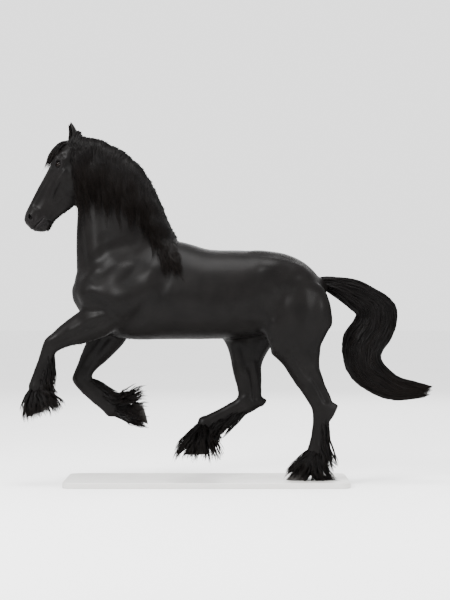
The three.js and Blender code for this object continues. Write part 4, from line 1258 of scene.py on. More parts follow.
def comb(guides, faces, strands, spread, depth, wave, rng, ends=(0.74, 1.0)):
    """Spreads strands round each guide. They draw together towards the tip and wave as a lock does.
    Gives paths, faces, and which guide each strand follows."""
    count, steps = guides.shape[:2]
    which = np.repeat(np.arange(count), strands)
    total = len(which)
    share = np.linspace(0, 1, steps)
    place = share * rng.uniform(*ends, total)[:, None] * (steps - 1)
    first = np.minimum(place.astype(int), steps - 2)
    t = (place - first)[..., None]
    path = guides[which[:, None], first] * (1 - t) + guides[which[:, None], first + 1] * t
    face = unit(faces[which[:, None], first] * (1 - t) + faces[which[:, None], first + 1] * t)
    run = unit(np.gradient(path, axis=1))
    across = unit(np.cross(run, face))
    length = np.linalg.norm(np.diff(path, axis=1), axis=2).sum(1)
    high, long = wave
    phase = (rng.normal(0, 0.7, count) + np.arange(count) * 0.45)[which] + rng.normal(0, 0.3, total)
    swing = share * (length / long)[:, None] * 2 * np.pi + phase[:, None]
    grown = np.minimum(1, share * 2.2) * high * rng.uniform(0.7, 1.3, count)[which][:, None]
    beside = rng.uniform(-0.5, 0.5, total)[:, None] * spread * (1 - 0.62 * share) + np.sin(swing) * grown
    over = rng.uniform(0, 1, total)[:, None] * depth * np.minimum(1, 0.15 + share * 3) * (1 - 0.5 * share)
    over = over + np.cos(swing * 0.8) * grown * 0.35
    return path + across * beside[..., None] + face * over[..., None], face, which


def long_hair(context):
    """The material of all long hair."""
    return bpy.data.materials.get("long_hair") or hair_material(context.scene.horse_hair)


def hair_piece(context, name, part, nodes, made, look, rng, **sizes):
    """A finished piece of long hair. made holds rows of guides, faces and roots, and look the width and
    the thickness of a strand in mm."""
    guides, faces, roots = (np.concatenate(rows) for rows in zip(*made))
    paths, face, which = comb(guides, faces, rng=rng, **sizes)
    count = len(paths)
    wide = look[0] * rng.uniform(0.5, 1.3, count)
    thick = look[1] * rng.uniform(0.8, 1.2, count)
    paths[..., 2] = np.maximum(paths[..., 2], HAIR_FLOOR)
    places = unwrapped(part, roots[which, 0], roots[which, 1])
    tone = np.clip(rng.normal(0.4, 0.1, len(guides))[which] + rng.normal(0, 0.1, count), 0, 1)
    mesh = locks_mesh(name, paths, face, wide, thick, places, tone)
    finished(name, mesh, long_hair(context), nodes)


# How far beside the horse the rays start that look for its skin, in metres
FLANK_RAY, HEAD_RAY = 1.5, 0.5


def skin_tree():
    skin = bpy.data.objects["skin"]
    return BVHTree.FromObject(skin, bpy.context.evaluated_depsgraph_get())


def flank_at(tree, x, z, side):
    """How far out the skin is on a side at a place in the side view, or None off its outline."""
    hit = tree.ray_cast((x / 1000, side * FLANK_RAY, (z + GROUND) / 1000), (0, -side, 0))[0]
    return abs(hit.y * 1000) if hit else None


# A lock of the mane: how deep it is rooted, how far it sways and bends back, how far beside the middle
# plane it starts, and how fast it comes in over a hollow and past the edge of the neck
MANE = {"root": 24, "sway": 84, "bend": 16, "beside": 44.0, "over_hollow": 16, "past_edge": 6}


def mane_guides(count, span, fall, lift, rise, side, tree, rng):
    """Paths from the crest over to a side and down the neck, with their faces and roots."""
    shares = span[0] + (span[1] - span[0]) * (np.arange(count) + rng.uniform(0, 1, count)) / count
    ridge = [(-1014, 2228)] + [row[0:2] for row in NECK]
    last = len(ridge) - 1
    crest = between(ridge, shares * last)
    ahead = between(ridge, np.minimum(shares + 0.01, 1) * last)
    behind = between(ridge, np.maximum(shares - 0.01, 0) * last)
    way = unit(ahead - behind)
    guides, faces = [], []
    for share, (x0, z0), (ux, uz) in zip(shares, crest, np.stack([-way[:, 1], way[:, 0]], axis=1)):
        length = fall * rng.uniform(0.78, 1.12) * (1 - 0.3 * share - 0.22 * ease((share - 0.78) / 0.22))
        sway = MANE["sway"] * rng.uniform(0.5, 1.4)
        root_y = rng.uniform(-4, 20) if side == NEAR else rng.uniform(2, 20)
        high = rise * rng.uniform(0.84, 1.08) * (1 - 0.47 * ease((share - 0.2) / 0.6))
        high += 20 * ease((0.06 - share) / 0.06)
        if side == FAR:
            high *= 1 - 0.9 * ease((share - 0.72) / 0.16)
        back = MANE["bend"] * rng.uniform(0.5, 1.3)
        # A lock starts under the crest, stands up over it, and then lies on the flank of the neck
        path = [
            (x0 - ux * MANE["root"], root_y, z0 - uz * MANE["root"]),
            (x0 + ux * high * 0.8 + back * 0.4, root_y * 0.5 + side * 4, z0 + uz * high * 0.8),
            (x0 + ux * high + back, side * 22, z0 + uz * high - back * 0.4),
        ]
        face = [(ux, 0, uz), (ux, side * 0.1, uz), (ux, side * 0.8, uz)]
        out_at = MANE["beside"]
        for down in (0.12, 0.28, 0.45, 0.62, 0.8, 1.0):
            x, z = x0 + sway * down - ux * 20 * down, z0 + uz * high * 0.3 - length * down
            near = [flank_at(tree, x + w, z, side) for w in (-26, 0, 26)]
            found = [v for v in near if v is not None]
            if found:
                out_at = max(*found, out_at - MANE["over_hollow"])
            else:
                out_at -= MANE["past_edge"]
            path.append((x, side * (out_at + lift), z))
            face.append((ux * (1 - down) * 0.4, side, uz * (1 - down) * 0.4))
        guides.append(path)
        faces.append(face)
    roots = np.stack([shares, rng.uniform(0.3, 0.7, count)], axis=1)
    return np.array(guides), unit(np.array(faces)), roots


# The forehead from the poll down: along it, below the line of the face, and half width
FOREHEAD = np.array([
    (24, 62, 58), (75, 24, 84), (140, 4, 95), (205, -2, 96), (270, 0, 84), (340, 1, 84),
])


# A lock of the forelock: where it starts along the head, how far it spreads to the side at its root and
# farther down, and how far the forehead drops to its sides
FORELOCK = {"start": 30, "spread": (16, 62), "drop": 46}


def forelock_guides(count, lift, rng):
    """Paths from between the ears down over the forehead, lift above the skull."""
    share = rng.uniform(-1, 1, count)
    length = rng.uniform(215, 292, count) * (1 - 0.3 * np.abs(share))
    guides = []
    for s, long in zip(share, length):
        path = []
        for t in np.linspace(0, 1, 9):
            along = FORELOCK["start"] + long * t
            top, half = (np.interp(along, FOREHEAD[:, 0], FOREHEAD[:, n]) for n in (1, 2))
            y = s * (FORELOCK["spread"][0] + FORELOCK["spread"][1] * ease(t * 1.3))
            drop = FORELOCK["drop"] * (abs(y) / half) ** 2.2
            high = lift * ease(t * 5) * (1 - 0.3 * ease((along - 170) / 150)) * (1 - 0.3 * abs(s))
            x, z = on_head(along, top + drop - high + 6 * (1 - ease(t * 6)))
            path.append((x, y, z))
        guides.append(path)
    out = (-math.sin(HEAD["slope"]), 0, math.cos(HEAD["slope"]))
    faces = np.tile(out, (count, len(guides[0]), 1))
    faces[..., 1] = share[:, None] * 0.7
    roots = np.stack([np.full(count, 0.1), share * 0.5 + 0.5], axis=1)
    return np.array(guides), unit(faces), roots


def tail_guides(count, first, last, reach, rng):
    """Paths from the dock to the end of the tail, spread round it. reach holds the share of the tail's
    size that they start at, and the least and the most that they spread to."""
    turn = 2 * np.pi * (np.arange(count) + rng.uniform(0, 1, count)) / count
    start = rng.uniform(*first, count)[:, None]
    end = rng.uniform(*last, count)[:, None]
    share = np.linspace(0, 1, 19)[None]
    sections = between(TAIL, (start + (end - start) * share) * (len(TAIL) - 1))
    swirl = turn[:, None] + share * rng.normal(0, 0.3, count)[:, None]
    outer = rng.uniform(reach[1], reach[2], count)[:, None]
    radius = reach[0] + (outer - reach[0]) * ease(share * 4)
    guides = in_rib(sections, swirl, radius)
    faces = unit(guides - in_rib(sections, swirl, radius * 0.2) + 1e-6)
    return guides, faces, np.stack([start[:, 0], turn / (2 * np.pi)], axis=1)


# How deep under the skin the feather is rooted
FEATHER_ROOT = 20


def towards_front(pair, ahead):
    """A size between the one before the leg and the one behind it."""
    front, back = np.array(pair, float)
    return back + (front - back) * ahead


def feather_guides(leg, count, root, tip, off, behind_only, rng):
    """Paths down the back of a cannon, or from all round the pastern over the hoof."""
    guides, faces, roots = [], [], []
    steps = 7
    spread = 62 if behind_only else 180
    for n in range(count):
        degrees = 180 + spread * (2 * (n + rng.uniform(0, 1)) / count - 1)
        turn = math.radians(degrees)
        ahead = (math.cos(turn) + 1) / 2
        high = off * towards_front(leg["flare"], ahead) * rng.uniform(0.7, 1.06)
        first = rng.uniform(*root) + 0.14 * ahead
        last = rng.uniform(*tip) + 0.3 * ahead
        hang = off * towards_front(leg["hang"], ahead)
        hang[0] *= rng.uniform(0.4, 1.1)
        path = []
        for share in np.linspace(0, 1, steps):
            lift = -FEATHER_ROOT + (high + FEATHER_ROOT) * (1 - (1 - share) ** 1.5)
            spot = beside_limb(leg, first + (last - first) * share, turn, lift)
            spot[[0, 2]] += hang * share ** 2
            path.append(spot)
        core, out = (beside_limb(leg, (first + last) / 2, turn, lift) for lift in (0, 10))
        guides.append(path)
        faces.append([out - core] * steps)
        roots.append((first / 2.4, (degrees % 360) / 360))
    return np.array(guides), unit(np.array(faces)), np.array(roots)


def coat_tufts(context, rng):
    """Small flat tufts where the coat breaks the form: under the jaw and the belly, and on the arms."""
    skin = bpy.data.objects["skin"].data
    points, normals = points_of(skin) * 1000 - (0, 0, GROUND), normals_of(skin)
    x, side, z = points[:, 0], np.abs(points[:, 1]), points[:, 2]
    under_jaw = np.array([math.sin(HEAD["slope"]), 0, -math.cos(HEAD["slope"])])
    on_jaw = in_head(points, "jaw") & (side < 50)
    # Each row: where it grows, how squarely the skin faces a way there, the lie of the hair, and how many
    rows = [
        ((x > -760) & (x < 330) & (z < 1000), -normals[:, 2], (1, 0, 0), 2600),
        (on_jaw, normals @ under_jaw, (under_jaw[2], 0, -under_jaw[0]), 1700),
        ((x < -600) & (x > -1180) & (z < 1040) & (z > 640), -normals[:, 2], (0.15, 0, -1), 900),
    ]
    chosen, ways = [], []
    for area, facing, way, amount in rows:
        chance = area * ease((facing - 0.6) / 0.35) ** 2
        chosen.append(rng.choice(len(points), amount, p=chance / chance.sum()))
        ways.append(np.tile(np.array(way, float), (amount, 1)))
    chosen, ways = np.concatenate(chosen), np.concatenate(ways)
    count, out = len(chosen), normals[chosen]
    spots = points[chosen] + rng.uniform(-4, 4, (count, 3)) * (1 - np.abs(out))
    way = unit(ways - out * np.einsum("ij,ij->i", ways, out)[:, None] + rng.normal(0, 0.1, ways.shape))
    length = rng.uniform(12, 25, count)[:, None]
    # A tuft starts under the skin and lifts off it towards its tip
    rise = [(-0.1, -1.8), (0.25, -0.2), (0.65, 0.4), (1.0, 1.3)]
    paths = np.stack([spots + way * length * s + out * h for s, h in rise], axis=1)
    faces = np.repeat(out[:, None], len(rise), axis=1)
    roots = unwrapped("torso", (spots[:, 0] + 1400) / 2400, (spots[:, 1] + 320) / 640)
    wide, thick, tone = rng.uniform(1.2, 2.2, count), np.full(count, 0.3), rng.uniform(0.2, 0.7, count)
    mesh = locks_mesh("coat_tufts", paths, faces, wide, thick, roots, tone)
    finished("coat_tufts", mesh, tuft_material(context.scene.horse_skin))


def ear_guides(side, count, rng):
    """Short hair that grows out of the cup of an ear and along its rim."""
    guides, faces = [], []
    for _ in range(count):
        h = rng.uniform(0.02, 0.7)
        y = rng.uniform(-1, 1) * 20 * (1 - h * 0.6)
        start = np.array([8 - abs(y) * 0.9 - 6 * h, y, h * EAR["length"]])
        out = np.array([-0.8, -y / 40, 0.9 + h * 0.4])
        rows = [start + out * s * 20 + np.array([0, 0, 5]) * s * s for s in (0, 0.35, 0.7, 1)]
        guides.append(rows)
        faces.append([np.array([-0.6, 0, -0.8])] * 4)
    matrix = ear_place(side)
    rotated = np.array(faces) @ np.array(matrix.to_3x3()).T
    return moved(np.array(guides), matrix), unit(rotated), np.full((count, 2), 0.5)


# Bristles by geometry nodes: whiskers and eyelashes

def bristle_tree():
    """A cone on each point, turned along its 'way' and as long as its 'size'."""
    tree = bpy.data.node_groups.new("Bristles", "GeometryNodeTree")
    add_sockets(tree, "INPUT", (
        ("Geometry", "NodeSocketGeometry"), ("Bristle Width", "NodeSocketFloat", 0.0008),
        ("Sides", "NodeSocketInt", 4), ("Length Variation", "NodeSocketFloat", 0.2),
        ("Seed", "NodeSocketInt", 3), ("Material", "NodeSocketMaterial"),
    ))
    add_sockets(tree, "OUTPUT", (("Geometry", "NodeSocketGeometry"),))
    entry = tree.nodes.new("NodeGroupInput").outputs

    def add(kind, inputs, output=0, **settings):
        return add_node(tree, kind, inputs, **settings).outputs[output]

    sizes = {"Radius Top": 0, "Radius Bottom": entry["Bristle Width"], "Depth": 1}
    cone = add("GeometryNodeMeshCone", {**sizes, "Vertices": entry["Sides"], "Side Segments": 3}, "Mesh")
    named = "GeometryNodeInputNamedAttribute"
    way = add(named, {"Name": "way"}, "Attribute", data_type="FLOAT_VECTOR")
    size = add(named, {"Name": "size"}, "Attribute", data_type="FLOAT")
    turn = add("FunctionNodeAlignRotationToVector", {"Vector": way}, "Rotation", axis="Z")
    least = add("ShaderNodeMath", {0: 1, 1: entry["Length Variation"]}, operation="SUBTRACT")
    vary = add("FunctionNodeRandomValue", {"Min": least, "Seed": entry["Seed"]}, "Value", data_type="FLOAT")
    long = add("ShaderNodeMath", {0: size, 1: vary}, operation="MULTIPLY")
    scale = add("ShaderNodeCombineXYZ", {"X": 1, "Y": 1, "Z": long})
    points = {"Points": entry["Geometry"], "Instance": cone, "Rotation": turn, "Scale": scale}
    placed = add("GeometryNodeInstanceOnPoints", points, "Instances")
    real = add("GeometryNodeRealizeInstances", {"Geometry": placed}, "Geometry")
    painted = add("GeometryNodeSetMaterial", {"Geometry": real, "Material": entry["Material"]}, "Geometry")
    add_node(tree, "NodeGroupOutput", {"Geometry": painted})
    return tree


def grown_bristles(name, spots, ways, sizes, width, material):
    """A plain mesh of bristles on spots, through the bristle tree."""
    seedbed = bpy.data.meshes.new(name + "_roots")
    seedbed.from_pydata((np.asarray(spots) + (0, 0, GROUND)).tolist(), [], [])
    seedbed.transform(Matrix.Scale(0.001, 4))
    add_attribute(seedbed, "way", unit(np.asarray(ways, float)))
    add_attribute(seedbed, "size", np.asarray(sizes, float) / 1000)
    work = new_object(name + "_work", seedbed)
    nodes = work.modifiers.new("bristles", "NODES")
    nodes.node_group = bristle_tree()
    sockets = nodes.node_group.interface.items_tree
    ids = {item.name: item.identifier for item in sockets if item.in_out == "INPUT"}
    nodes[ids["Bristle Width"]] = width
    nodes[ids["Material"]] = material
    return evaluated_mesh(work)


def head_spot(tree, along, below, side):
    """A place on the skin of the head, and the way out of it."""
    x, z = on_head(along, below)
    hit, normal, _, _ = tree.ray_cast((x / 1000, side * HEAD_RAY, (z + GROUND) / 1000), (0, -side, 0))
    if hit is None:
        return None
    return np.array([hit.x * 1000, hit.y * 1000, hit.z * 1000 - GROUND]), np.array(normal)


# Hooves and eyes

def hoof_form(leg):
    """A ringed wall from the ground to the crown, with a hollow sole, a frog and bulbs at the heel.
    The last thing it gives is each point's place up and round the wall, in metres."""
    sides = 64
    turn = circle(sides)
    toe = (np.cos(turn) + 1) / 2
    long_at_ground = HOOF["length"] * 0.93
    rings, walls = [], []

    def ring(level, inset, rise):
        front = HOOF["length"] / 2 - level * HOOF["toe"] / math.tan(HOOF["angle"])
        back = front - (long_at_ground + (HOOF["crown"] - long_at_ground) * level)
        wide = (HOOF["width"] + (HOOF["crown_width"] - HOOF["width"]) * level) / 2
        middle, long = (front + back) / 2, (front - back) / 2
        grow = 1 + 0.006 * math.sin(level * 44) + 0.012 * ease((level - 0.9) / 0.1)
        blunt = np.where(np.cos(turn) < 0, 0.82, 1.0)
        bulb = 1 + 0.05 * np.exp(-((turn - np.pi) / 0.42) ** 2) * ease((level - 0.3) / 0.5)
        x = -(middle + signed_power(np.cos(turn), blunt) * long * grow * bulb * inset)
        y = wide * np.sin(turn) * grow * inset
        z = level * (HOOF["heel"] + (HOOF["toe"] - HOOF["heel"]) * toe) + rise
        return np.stack([x, y, np.broadcast_to(z, x.shape)], axis=1)

    def add(points, up):
        rings.append(points)
        walls.append(np.stack([np.full(sides, up), turn * WALL["round"], np.zeros(sides)], axis=1))

    # The sole from its middle to its edge, the wall from the ground to the crown, and the top inwards
    for inset, rise in ((0.08, 9), (0.3, 9), (0.55, 8), (0.76, 6), (0.84, 4), (0.87, 0.4), (0.97, 0)):
        under = ring(0, inset, rise)
        frog = np.exp(-(under[:, 1] / 17) ** 2) * ease((under[:, 0] + 20) / 60)
        under[:, 2] -= frog * max(rise - 1, 0)
        add(under, inset * WALL["under"])
    for level in np.linspace(0, 1, 34):
        add(ring(level, 1, 0), level * WALL["high"])
    for inset, rise in ((0.97, 1.5), (0.9, 2), (0.6, 2)):
        add(ring(1, inset, rise), WALL["high"])
    points, faces = tube(np.array(rings), rings[0].mean(0), rings[-1].mean(0))
    matrix = Matrix.Translation((leg["sole"][0], leg["side"] * leg["joints"][-1][2], leg["sole"][1]))
    turned = moved(points, matrix @ Matrix.Rotation(math.radians(leg["pitch"]), 4, "Y"))
    return *outward((turned, faces)), np.concatenate([*walls, np.zeros((2, 3))])


# How much smaller the eyeball is than the hollow of the lids
LID_SLACK = 0.8
# The pupil: its half length along and its half height, as shares of the eyeball's radius
PUPIL = (0.36, 0.17)


def eye_mesh(side):
    """An eyeball with the swell of its cornea. 'gaze' keeps how far a point is from the middle of the
    eye, how far it is from the pupil, and its angle."""
    rings, sides, radius = 28, 44, EYE["radius"] - LID_SLACK
    polar = np.pi * (np.arange(1, rings) / rings)
    turn = circle(sides)
    swell = 1 + 0.07 * ease((0.62 - polar) / 0.3)
    across = np.sin(polar) * swell
    ball = np.stack([
        np.outer(across, np.cos(turn)), np.outer(across, np.sin(turn)),
        np.outer(np.cos(polar) * swell, np.ones(sides)),
    ], axis=-1) * radius
    points, faces = tube(ball, *(np.array([(0, 0, 1.07), (0, 0, -1)]) * radius))
    out = unit(np.array([-0.24, side * 0.96, 0.1]))
    tilt = HEAD["slope"] - 0.5
    level = np.array([-math.cos(tilt), 0, -math.sin(tilt)])
    level = unit(level - out * (level @ out))
    axes = np.stack([level, np.cross(out, level), out])
    x, z = on_head(EYE["along"], EYE["below"])
    flat = points / radius
    behind = flat[:, 2] < 0
    away = np.hypot(flat[:, 0], flat[:, 1]) + behind
    pupil = np.clip(np.hypot(flat[:, 0] / PUPIL[0], flat[:, 1] / PUPIL[1]) + behind, 0, 1.2) / 1.05
    mesh = new_mesh("eye", *outward((points @ axes + (x, side * EYE["side"], z), faces)))
    add_attribute(mesh, "gaze", np.stack([away, pupil, np.arctan2(flat[:, 1], flat[:, 0])], axis=1))
    to_world(mesh)
    return mesh


# Settings

COLOUR = {"size": 3, "min": 0, "max": 1, "subtype": "COLOR"}
FINE_LENGTH = {"unit": "LENGTH", "precision": 4}


class HorseSkinSettings(bpy.types.PropertyGroup):
    voxel: bpy.props.FloatProperty(
        name="Surface cell", description="Size of the cells that the one skin is drawn with",
        default=0.0114, min=0.005, max=0.03, **FINE_LENGTH,
    )
    coat_depth: bpy.props.FloatProperty(
        name="Coat depth", description="How far the skin lies under the outside of the coat",
        default=0.002, min=0, max=0.01, **FINE_LENGTH,
    )
    muscle: bpy.props.FloatProperty(
        name="Muscle", description="How far muscles, tendons and bones stand out",
        default=1.0, min=0, max=2, subtype="FACTOR",
    )
    coat_colour: bpy.props.FloatVectorProperty(
        name="Coat colour", description="Colour of the short coat",
        default=(0.0034, 0.003, 0.0029), **COLOUR,
    )
    muzzle_colour: bpy.props.FloatVectorProperty(
        name="Muzzle colour", description="Colour of the bare skin round mouth, nostrils and eyes",
        default=(0.007, 0.0061, 0.0062), **COLOUR,
    )


class HorseHairSettings(bpy.types.PropertyGroup):
    strand_width: bpy.props.FloatProperty(
        name="Strand width", description="Width of a strand of long hair",
        default=0.006, min=0.003, max=0.03, **FINE_LENGTH,
    )
    strand_thickness: bpy.props.FloatProperty(
        name="Strand thickness", description="Thickness of a strand of long hair",
        default=0.0022, min=0.001, max=0.02, **FINE_LENGTH,
    )
    seed: bpy.props.IntProperty(name="Seed", description="Changes how the hair falls", default=7, min=0)
    hair_colour: bpy.props.FloatVectorProperty(
        name="Hair colour", description="Colour of mane, tail and feather",
        default=(0.003, 0.0025, 0.0024), **COLOUR,
    )
    tip_colour: bpy.props.FloatVectorProperty(
        name="Tip colour", description="Colour of the tips, a little browned by the sun",
        default=(0.0075, 0.0053, 0.0042), **COLOUR,
    )


class HorseTrimSettings(bpy.types.PropertyGroup):
    horn_colour: bpy.props.FloatVectorProperty(
        name="Hoof colour", description="Colour of the horn of the hooves",
        default=(0.014, 0.012, 0.0108), **COLOUR,
    )
    iris_colour: bpy.props.FloatVectorProperty(
        name="Iris colour", description="Colour of the iris",
        default=(0.0046, 0.0018, 0.0009), **COLOUR,
    )
    whisker_length: bpy.props.FloatProperty(
        name="Whisker length", description="Length of the longest whiskers",
        default=0.045, min=0, max=0.1, unit="LENGTH",
    )
    plate_colour: bpy.props.FloatVectorProperty(
        name="Base colour", description="Colour of the paint on the display base",
        default=(0.5, 0.49, 0.47), **COLOUR,
    )


class HorseStageSettings(bpy.types.PropertyGroup):
    floor_colour: bpy.props.FloatVectorProperty(
        name="Floor colour", description="Colour of the floor and of the room",
        default=(0.93, 0.93, 0.93), **COLOUR,
    )
    lamp_power: bpy.props.FloatProperty(
        name="Lamp power", description="Power of the main soft light", default=1150, min=0, unit="POWER",
    )
    distance: bpy.props.FloatProperty(
        name="Camera distance", description="How far the camera stands from the horse",
        default=12.0, min=4, max=40, unit="LENGTH",
    )


# Operators

FLESH = [
    "torso", "neck", "head", "ear_left", "ear_right", "fore_left_forearm", "fore_left_cannon",
    "fore_right_forearm", "fore_right_cannon", "hind_left_thigh", "hind_left_gaskin", "hind_left_cannon",
    "hind_right_thigh", "hind_right_gaskin", "hind_right_cannon",
]
# Whiskers and lashes: how many on each side, their seed, the lashes' length in mm, and all their width in m
WHISKERS, LASHES = 34, 30
BRISTLE_SEED = 41
LASH_LENGTH = 13
BRISTLE_WIDTH = 0.0006
# The stage, in metres: how far the floor reaches, where the lamps point, and what the camera sees
FLOOR_REACH = 60
LAMP_AIM = (0, 0, 1.2)
SKY_STRENGTH = 2.1
SENSOR = 36
VIEW_WIDTH = 3.96
VIEW_CENTRE = (-0.0099, 1.211)


class HORSE_OT_skin(bpy.types.Operator):
    """Makes the one skin over head, neck, torso, dock and legs"""

    bl_idname = "horse.skin"
    bl_label = "Skin"

    def execute(self, context):
        settings = context.scene.horse_skin
        finished("skin", build_skin(settings), coat_material(settings), FLESH)
        return {"FINISHED"}


class HORSE_OT_eyes(bpy.types.Operator):
    """Makes both eyes, with level pupils"""

    bl_idname = "horse.eyes"
    bl_label = "Eyes"

    def execute(self, context):
        material = eye_material(context.scene.horse_trim)
        for name, side in (("left", NEAR), ("right", FAR)):
            finished(f"eyeball_{name}", eye_mesh(side), material, [f"eye_{name}"])
        return {"FINISHED"}


class HORSE_OT_hooves(bpy.types.Operator):
    """Makes the four hooves, with growth rings, soles and frogs"""

    bl_idname = "horse.hooves"
    bl_label = "Hooves"

    def execute(self, context):
        material = horn_material(context.scene.horse_trim)
        for leg in LEGS:
            points, faces, wall = hoof_form(leg)
            mesh = new_mesh(leg["name"], points, faces)
            add_attribute(mesh, "wall", wall)
            to_world(mesh)
            finished(f"hoof_{leg['name']}", mesh, material, [f"{leg['name']}_hoof"])
        return {"FINISHED"}


class HORSE_OT_mane(bpy.types.Operator):
    """Makes the mane: three layers on the left of the neck, and a lighter one on the right"""

    bl_idname = "horse.mane"
    bl_label = "Mane"

    def execute(self, context):
        hair = context.scene.horse_hair
        rng = np.random.default_rng(hair.seed)
        tree = skin_tree()
        look = (hair.strand_width * 860, hair.strand_thickness * 900)
        layers = (
            ("mane_under", 130, (0.0, 1.0), 560, 8, 18, NEAR),
            ("mane_middle", 120, (0.0, 0.99), 520, 20, 32, NEAR),
            ("mane_over", 110, (0.0, 0.98), 400, 34, 44, NEAR),
            ("mane_right", 90, (0.0, 0.9), 300, 9, 38, FAR),
        )
        for name, count, span, fall, lift, rise, side in layers:
            made = [mane_guides(count, span, fall, lift, rise, side, tree, rng)]
            hair_piece(
                context, name, "neck", ["neck"], made, look, rng,
                strands=22, spread=46, depth=14, wave=(12, 180),
            )
        return {"FINISHED"}


class HORSE_OT_forelock(bpy.types.Operator):
    """Makes the forelock, which falls over the forehead"""

    bl_idname = "horse.forelock"
    bl_label = "Forelock"

    def execute(self, context):
        hair = context.scene.horse_hair
        rng = np.random.default_rng(hair.seed + 1)
        look = (hair.strand_width * 760, hair.strand_thickness * 1000)
        layers = ((26, 4), (24, 14), (24, 25), (26, 36))
        made = [forelock_guides(count, lift, rng) for count, lift in layers]
        hair_piece(
            context, "forelock", "head", ["head"], made, look, rng,
            strands=13, spread=22, depth=9, wave=(7, 120),
        )
        return {"FINISHED"}


class HORSE_OT_tail(bpy.types.Operator):
    """Makes the tail, from the dock out to its tip"""

    bl_idname = "horse.tail"
    bl_label = "Tail"

    def execute(self, context):
        hair = context.scene.horse_hair
        rng = np.random.default_rng(hair.seed + 2)
        look = (hair.strand_width * 1300, hair.strand_thickness * 1400)
        layers = (
            ("tail_core", 110, (0.02, 0.4), (0.6, 0.98), (0.2, 0.3, 0.8), (0.9, 1.0), ["tail_upper"]),
            ("tail_cover", 130, (0.0, 0.3), (0.5, 0.92), (0.6, 0.82, 0.95), (0.9, 1.0), ["tail_middle"]),
            ("tail_sweep", 120, (0.1, 0.42), (0.93, 1.0), (0.5, 0.7, 0.95), (0.96, 1.0), ["tail_end"]),
        )
        for name, count, first, last, reach, ends, nodes in layers:
            made = [tail_guides(count, first, last, reach, rng)]
            hair_piece(
                context, name, "tail", nodes, made, look, rng,
                strands=13, spread=44, depth=10, wave=(11, 210), ends=ends,
            )
        return {"FINISHED"}


class HORSE_OT_feather(bpy.types.Operator):
    """Makes the feather: long hair behind each cannon and over each hoof"""

    bl_idname = "horse.feather"
    bl_label = "Feather"

    def execute(self, context):
        hair = context.scene.horse_hair
        look = (hair.strand_width * 1000, hair.strand_thickness * 1100)
        for number, leg in enumerate(LEGS):
            rng = np.random.default_rng(hair.seed + 10 + number)
            tiers = (
                (44, (0.12, 0.8), (0.75, 1.4), leg["brush"], True),
                (46, (0.5, 1.05), (1.3, 1.9), 0.66, True),
                (62, (0.86, 1.3), (1.9, 2.45), 1.0, False),
                (62, (1.1, 1.8), (2.2, 2.6), 0.94, False),
            )
            made = [feather_guides(leg, *tier, rng) for tier in tiers]
            name = leg["name"]
            hair_piece(
                context, f"feather_{name}", name, [f"{name}_cannon"], made, look, rng,
                strands=12, spread=30, depth=9, wave=(6, 100),
            )
        return {"FINISHED"}


class HORSE_OT_tufts(bpy.types.Operator):
    """Makes small tufts where the coat breaks the form, and the hair in the ears"""

    bl_idname = "horse.tufts"
    bl_label = "Tufts"

    def execute(self, context):
        rng = np.random.default_rng(context.scene.horse_hair.seed + 20)
        coat_tufts(context, rng)
        made = [ear_guides(side, 150, rng) for side in (NEAR, FAR)]
        hair_piece(
            context, "ear_hair", "head", [], made, (2.6, 1.2), rng,
            strands=4, spread=5, depth=2, wave=(0.8, 30),
        )
        return {"FINISHED"}


class HORSE_OT_bristles(bpy.types.Operator):
    """Makes whiskers on the muzzle and lashes on the upper lids"""

    bl_idname = "horse.bristles"
    bl_label = "Whiskers and lashes"

    def execute(self, context):
        rng = np.random.default_rng(BRISTLE_SEED)
        tree = skin_tree()
        spots, ways, sizes = [], [], []
        longest = context.scene.horse_trim.whisker_length * 1000
        for side in (NEAR, FAR):
            for _ in range(WHISKERS):
                along, below = rng.uniform(590, 664), rng.uniform(76, 178)
                found = head_spot(tree, along, below, side)
                if found:
                    spots.append(found[0])
                    ways.append(found[1] + rng.normal(0, 0.25, 3) + (0, 0, -0.5))
                    sizes.append(longest * rng.uniform(0.4, 1))
            for share in np.linspace(0, 1, LASHES):
                turn = math.pi * (1.1 + 0.8 * share)
                a, b = math.cos(turn) * LID["long"], math.sin(turn) * LID["tall"] * 1.05
                x, z = on_head(EYE["along"] + a, EYE["below"] + b)
                out = EYE["side"] + globe_height(EYE["radius"] + 0.5, a, b) + 2
                spots.append(np.array([x, side * out, z]))
                ways.append((-0.35, side * 1.0, 0.1))
                sizes.append(LASH_LENGTH)
        mesh = grown_bristles("bristles", spots, ways, sizes, BRISTLE_WIDTH, long_hair(context))
        which = corners_of(mesh) * len(spots) // len(mesh.vertices)
        roots = head_place(np.array(spots))[which] / (720, 330) + (0, 0.1)
        places = unwrapped("head", roots[:, 0], roots[:, 1])
        add_unwrap(mesh, places + rng.uniform(-0.5, 0.5, places.shape) * PATCH)
        finished("bristles", mesh, long_hair(context))
        return {"FINISHED"}


class HORSE_OT_base(bpy.types.Operator):
    """Paints the display base"""

    bl_idname = "horse.base"
    bl_label = "Base"

    def execute(self, context):
        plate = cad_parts["stand_base"]
        material = plate_material(context.scene.horse_trim)
        if not plate.material_slots:
            plate.data.materials.append(material)
        for slot in plate.material_slots:
            slot.material = material
        return {"FINISHED"}


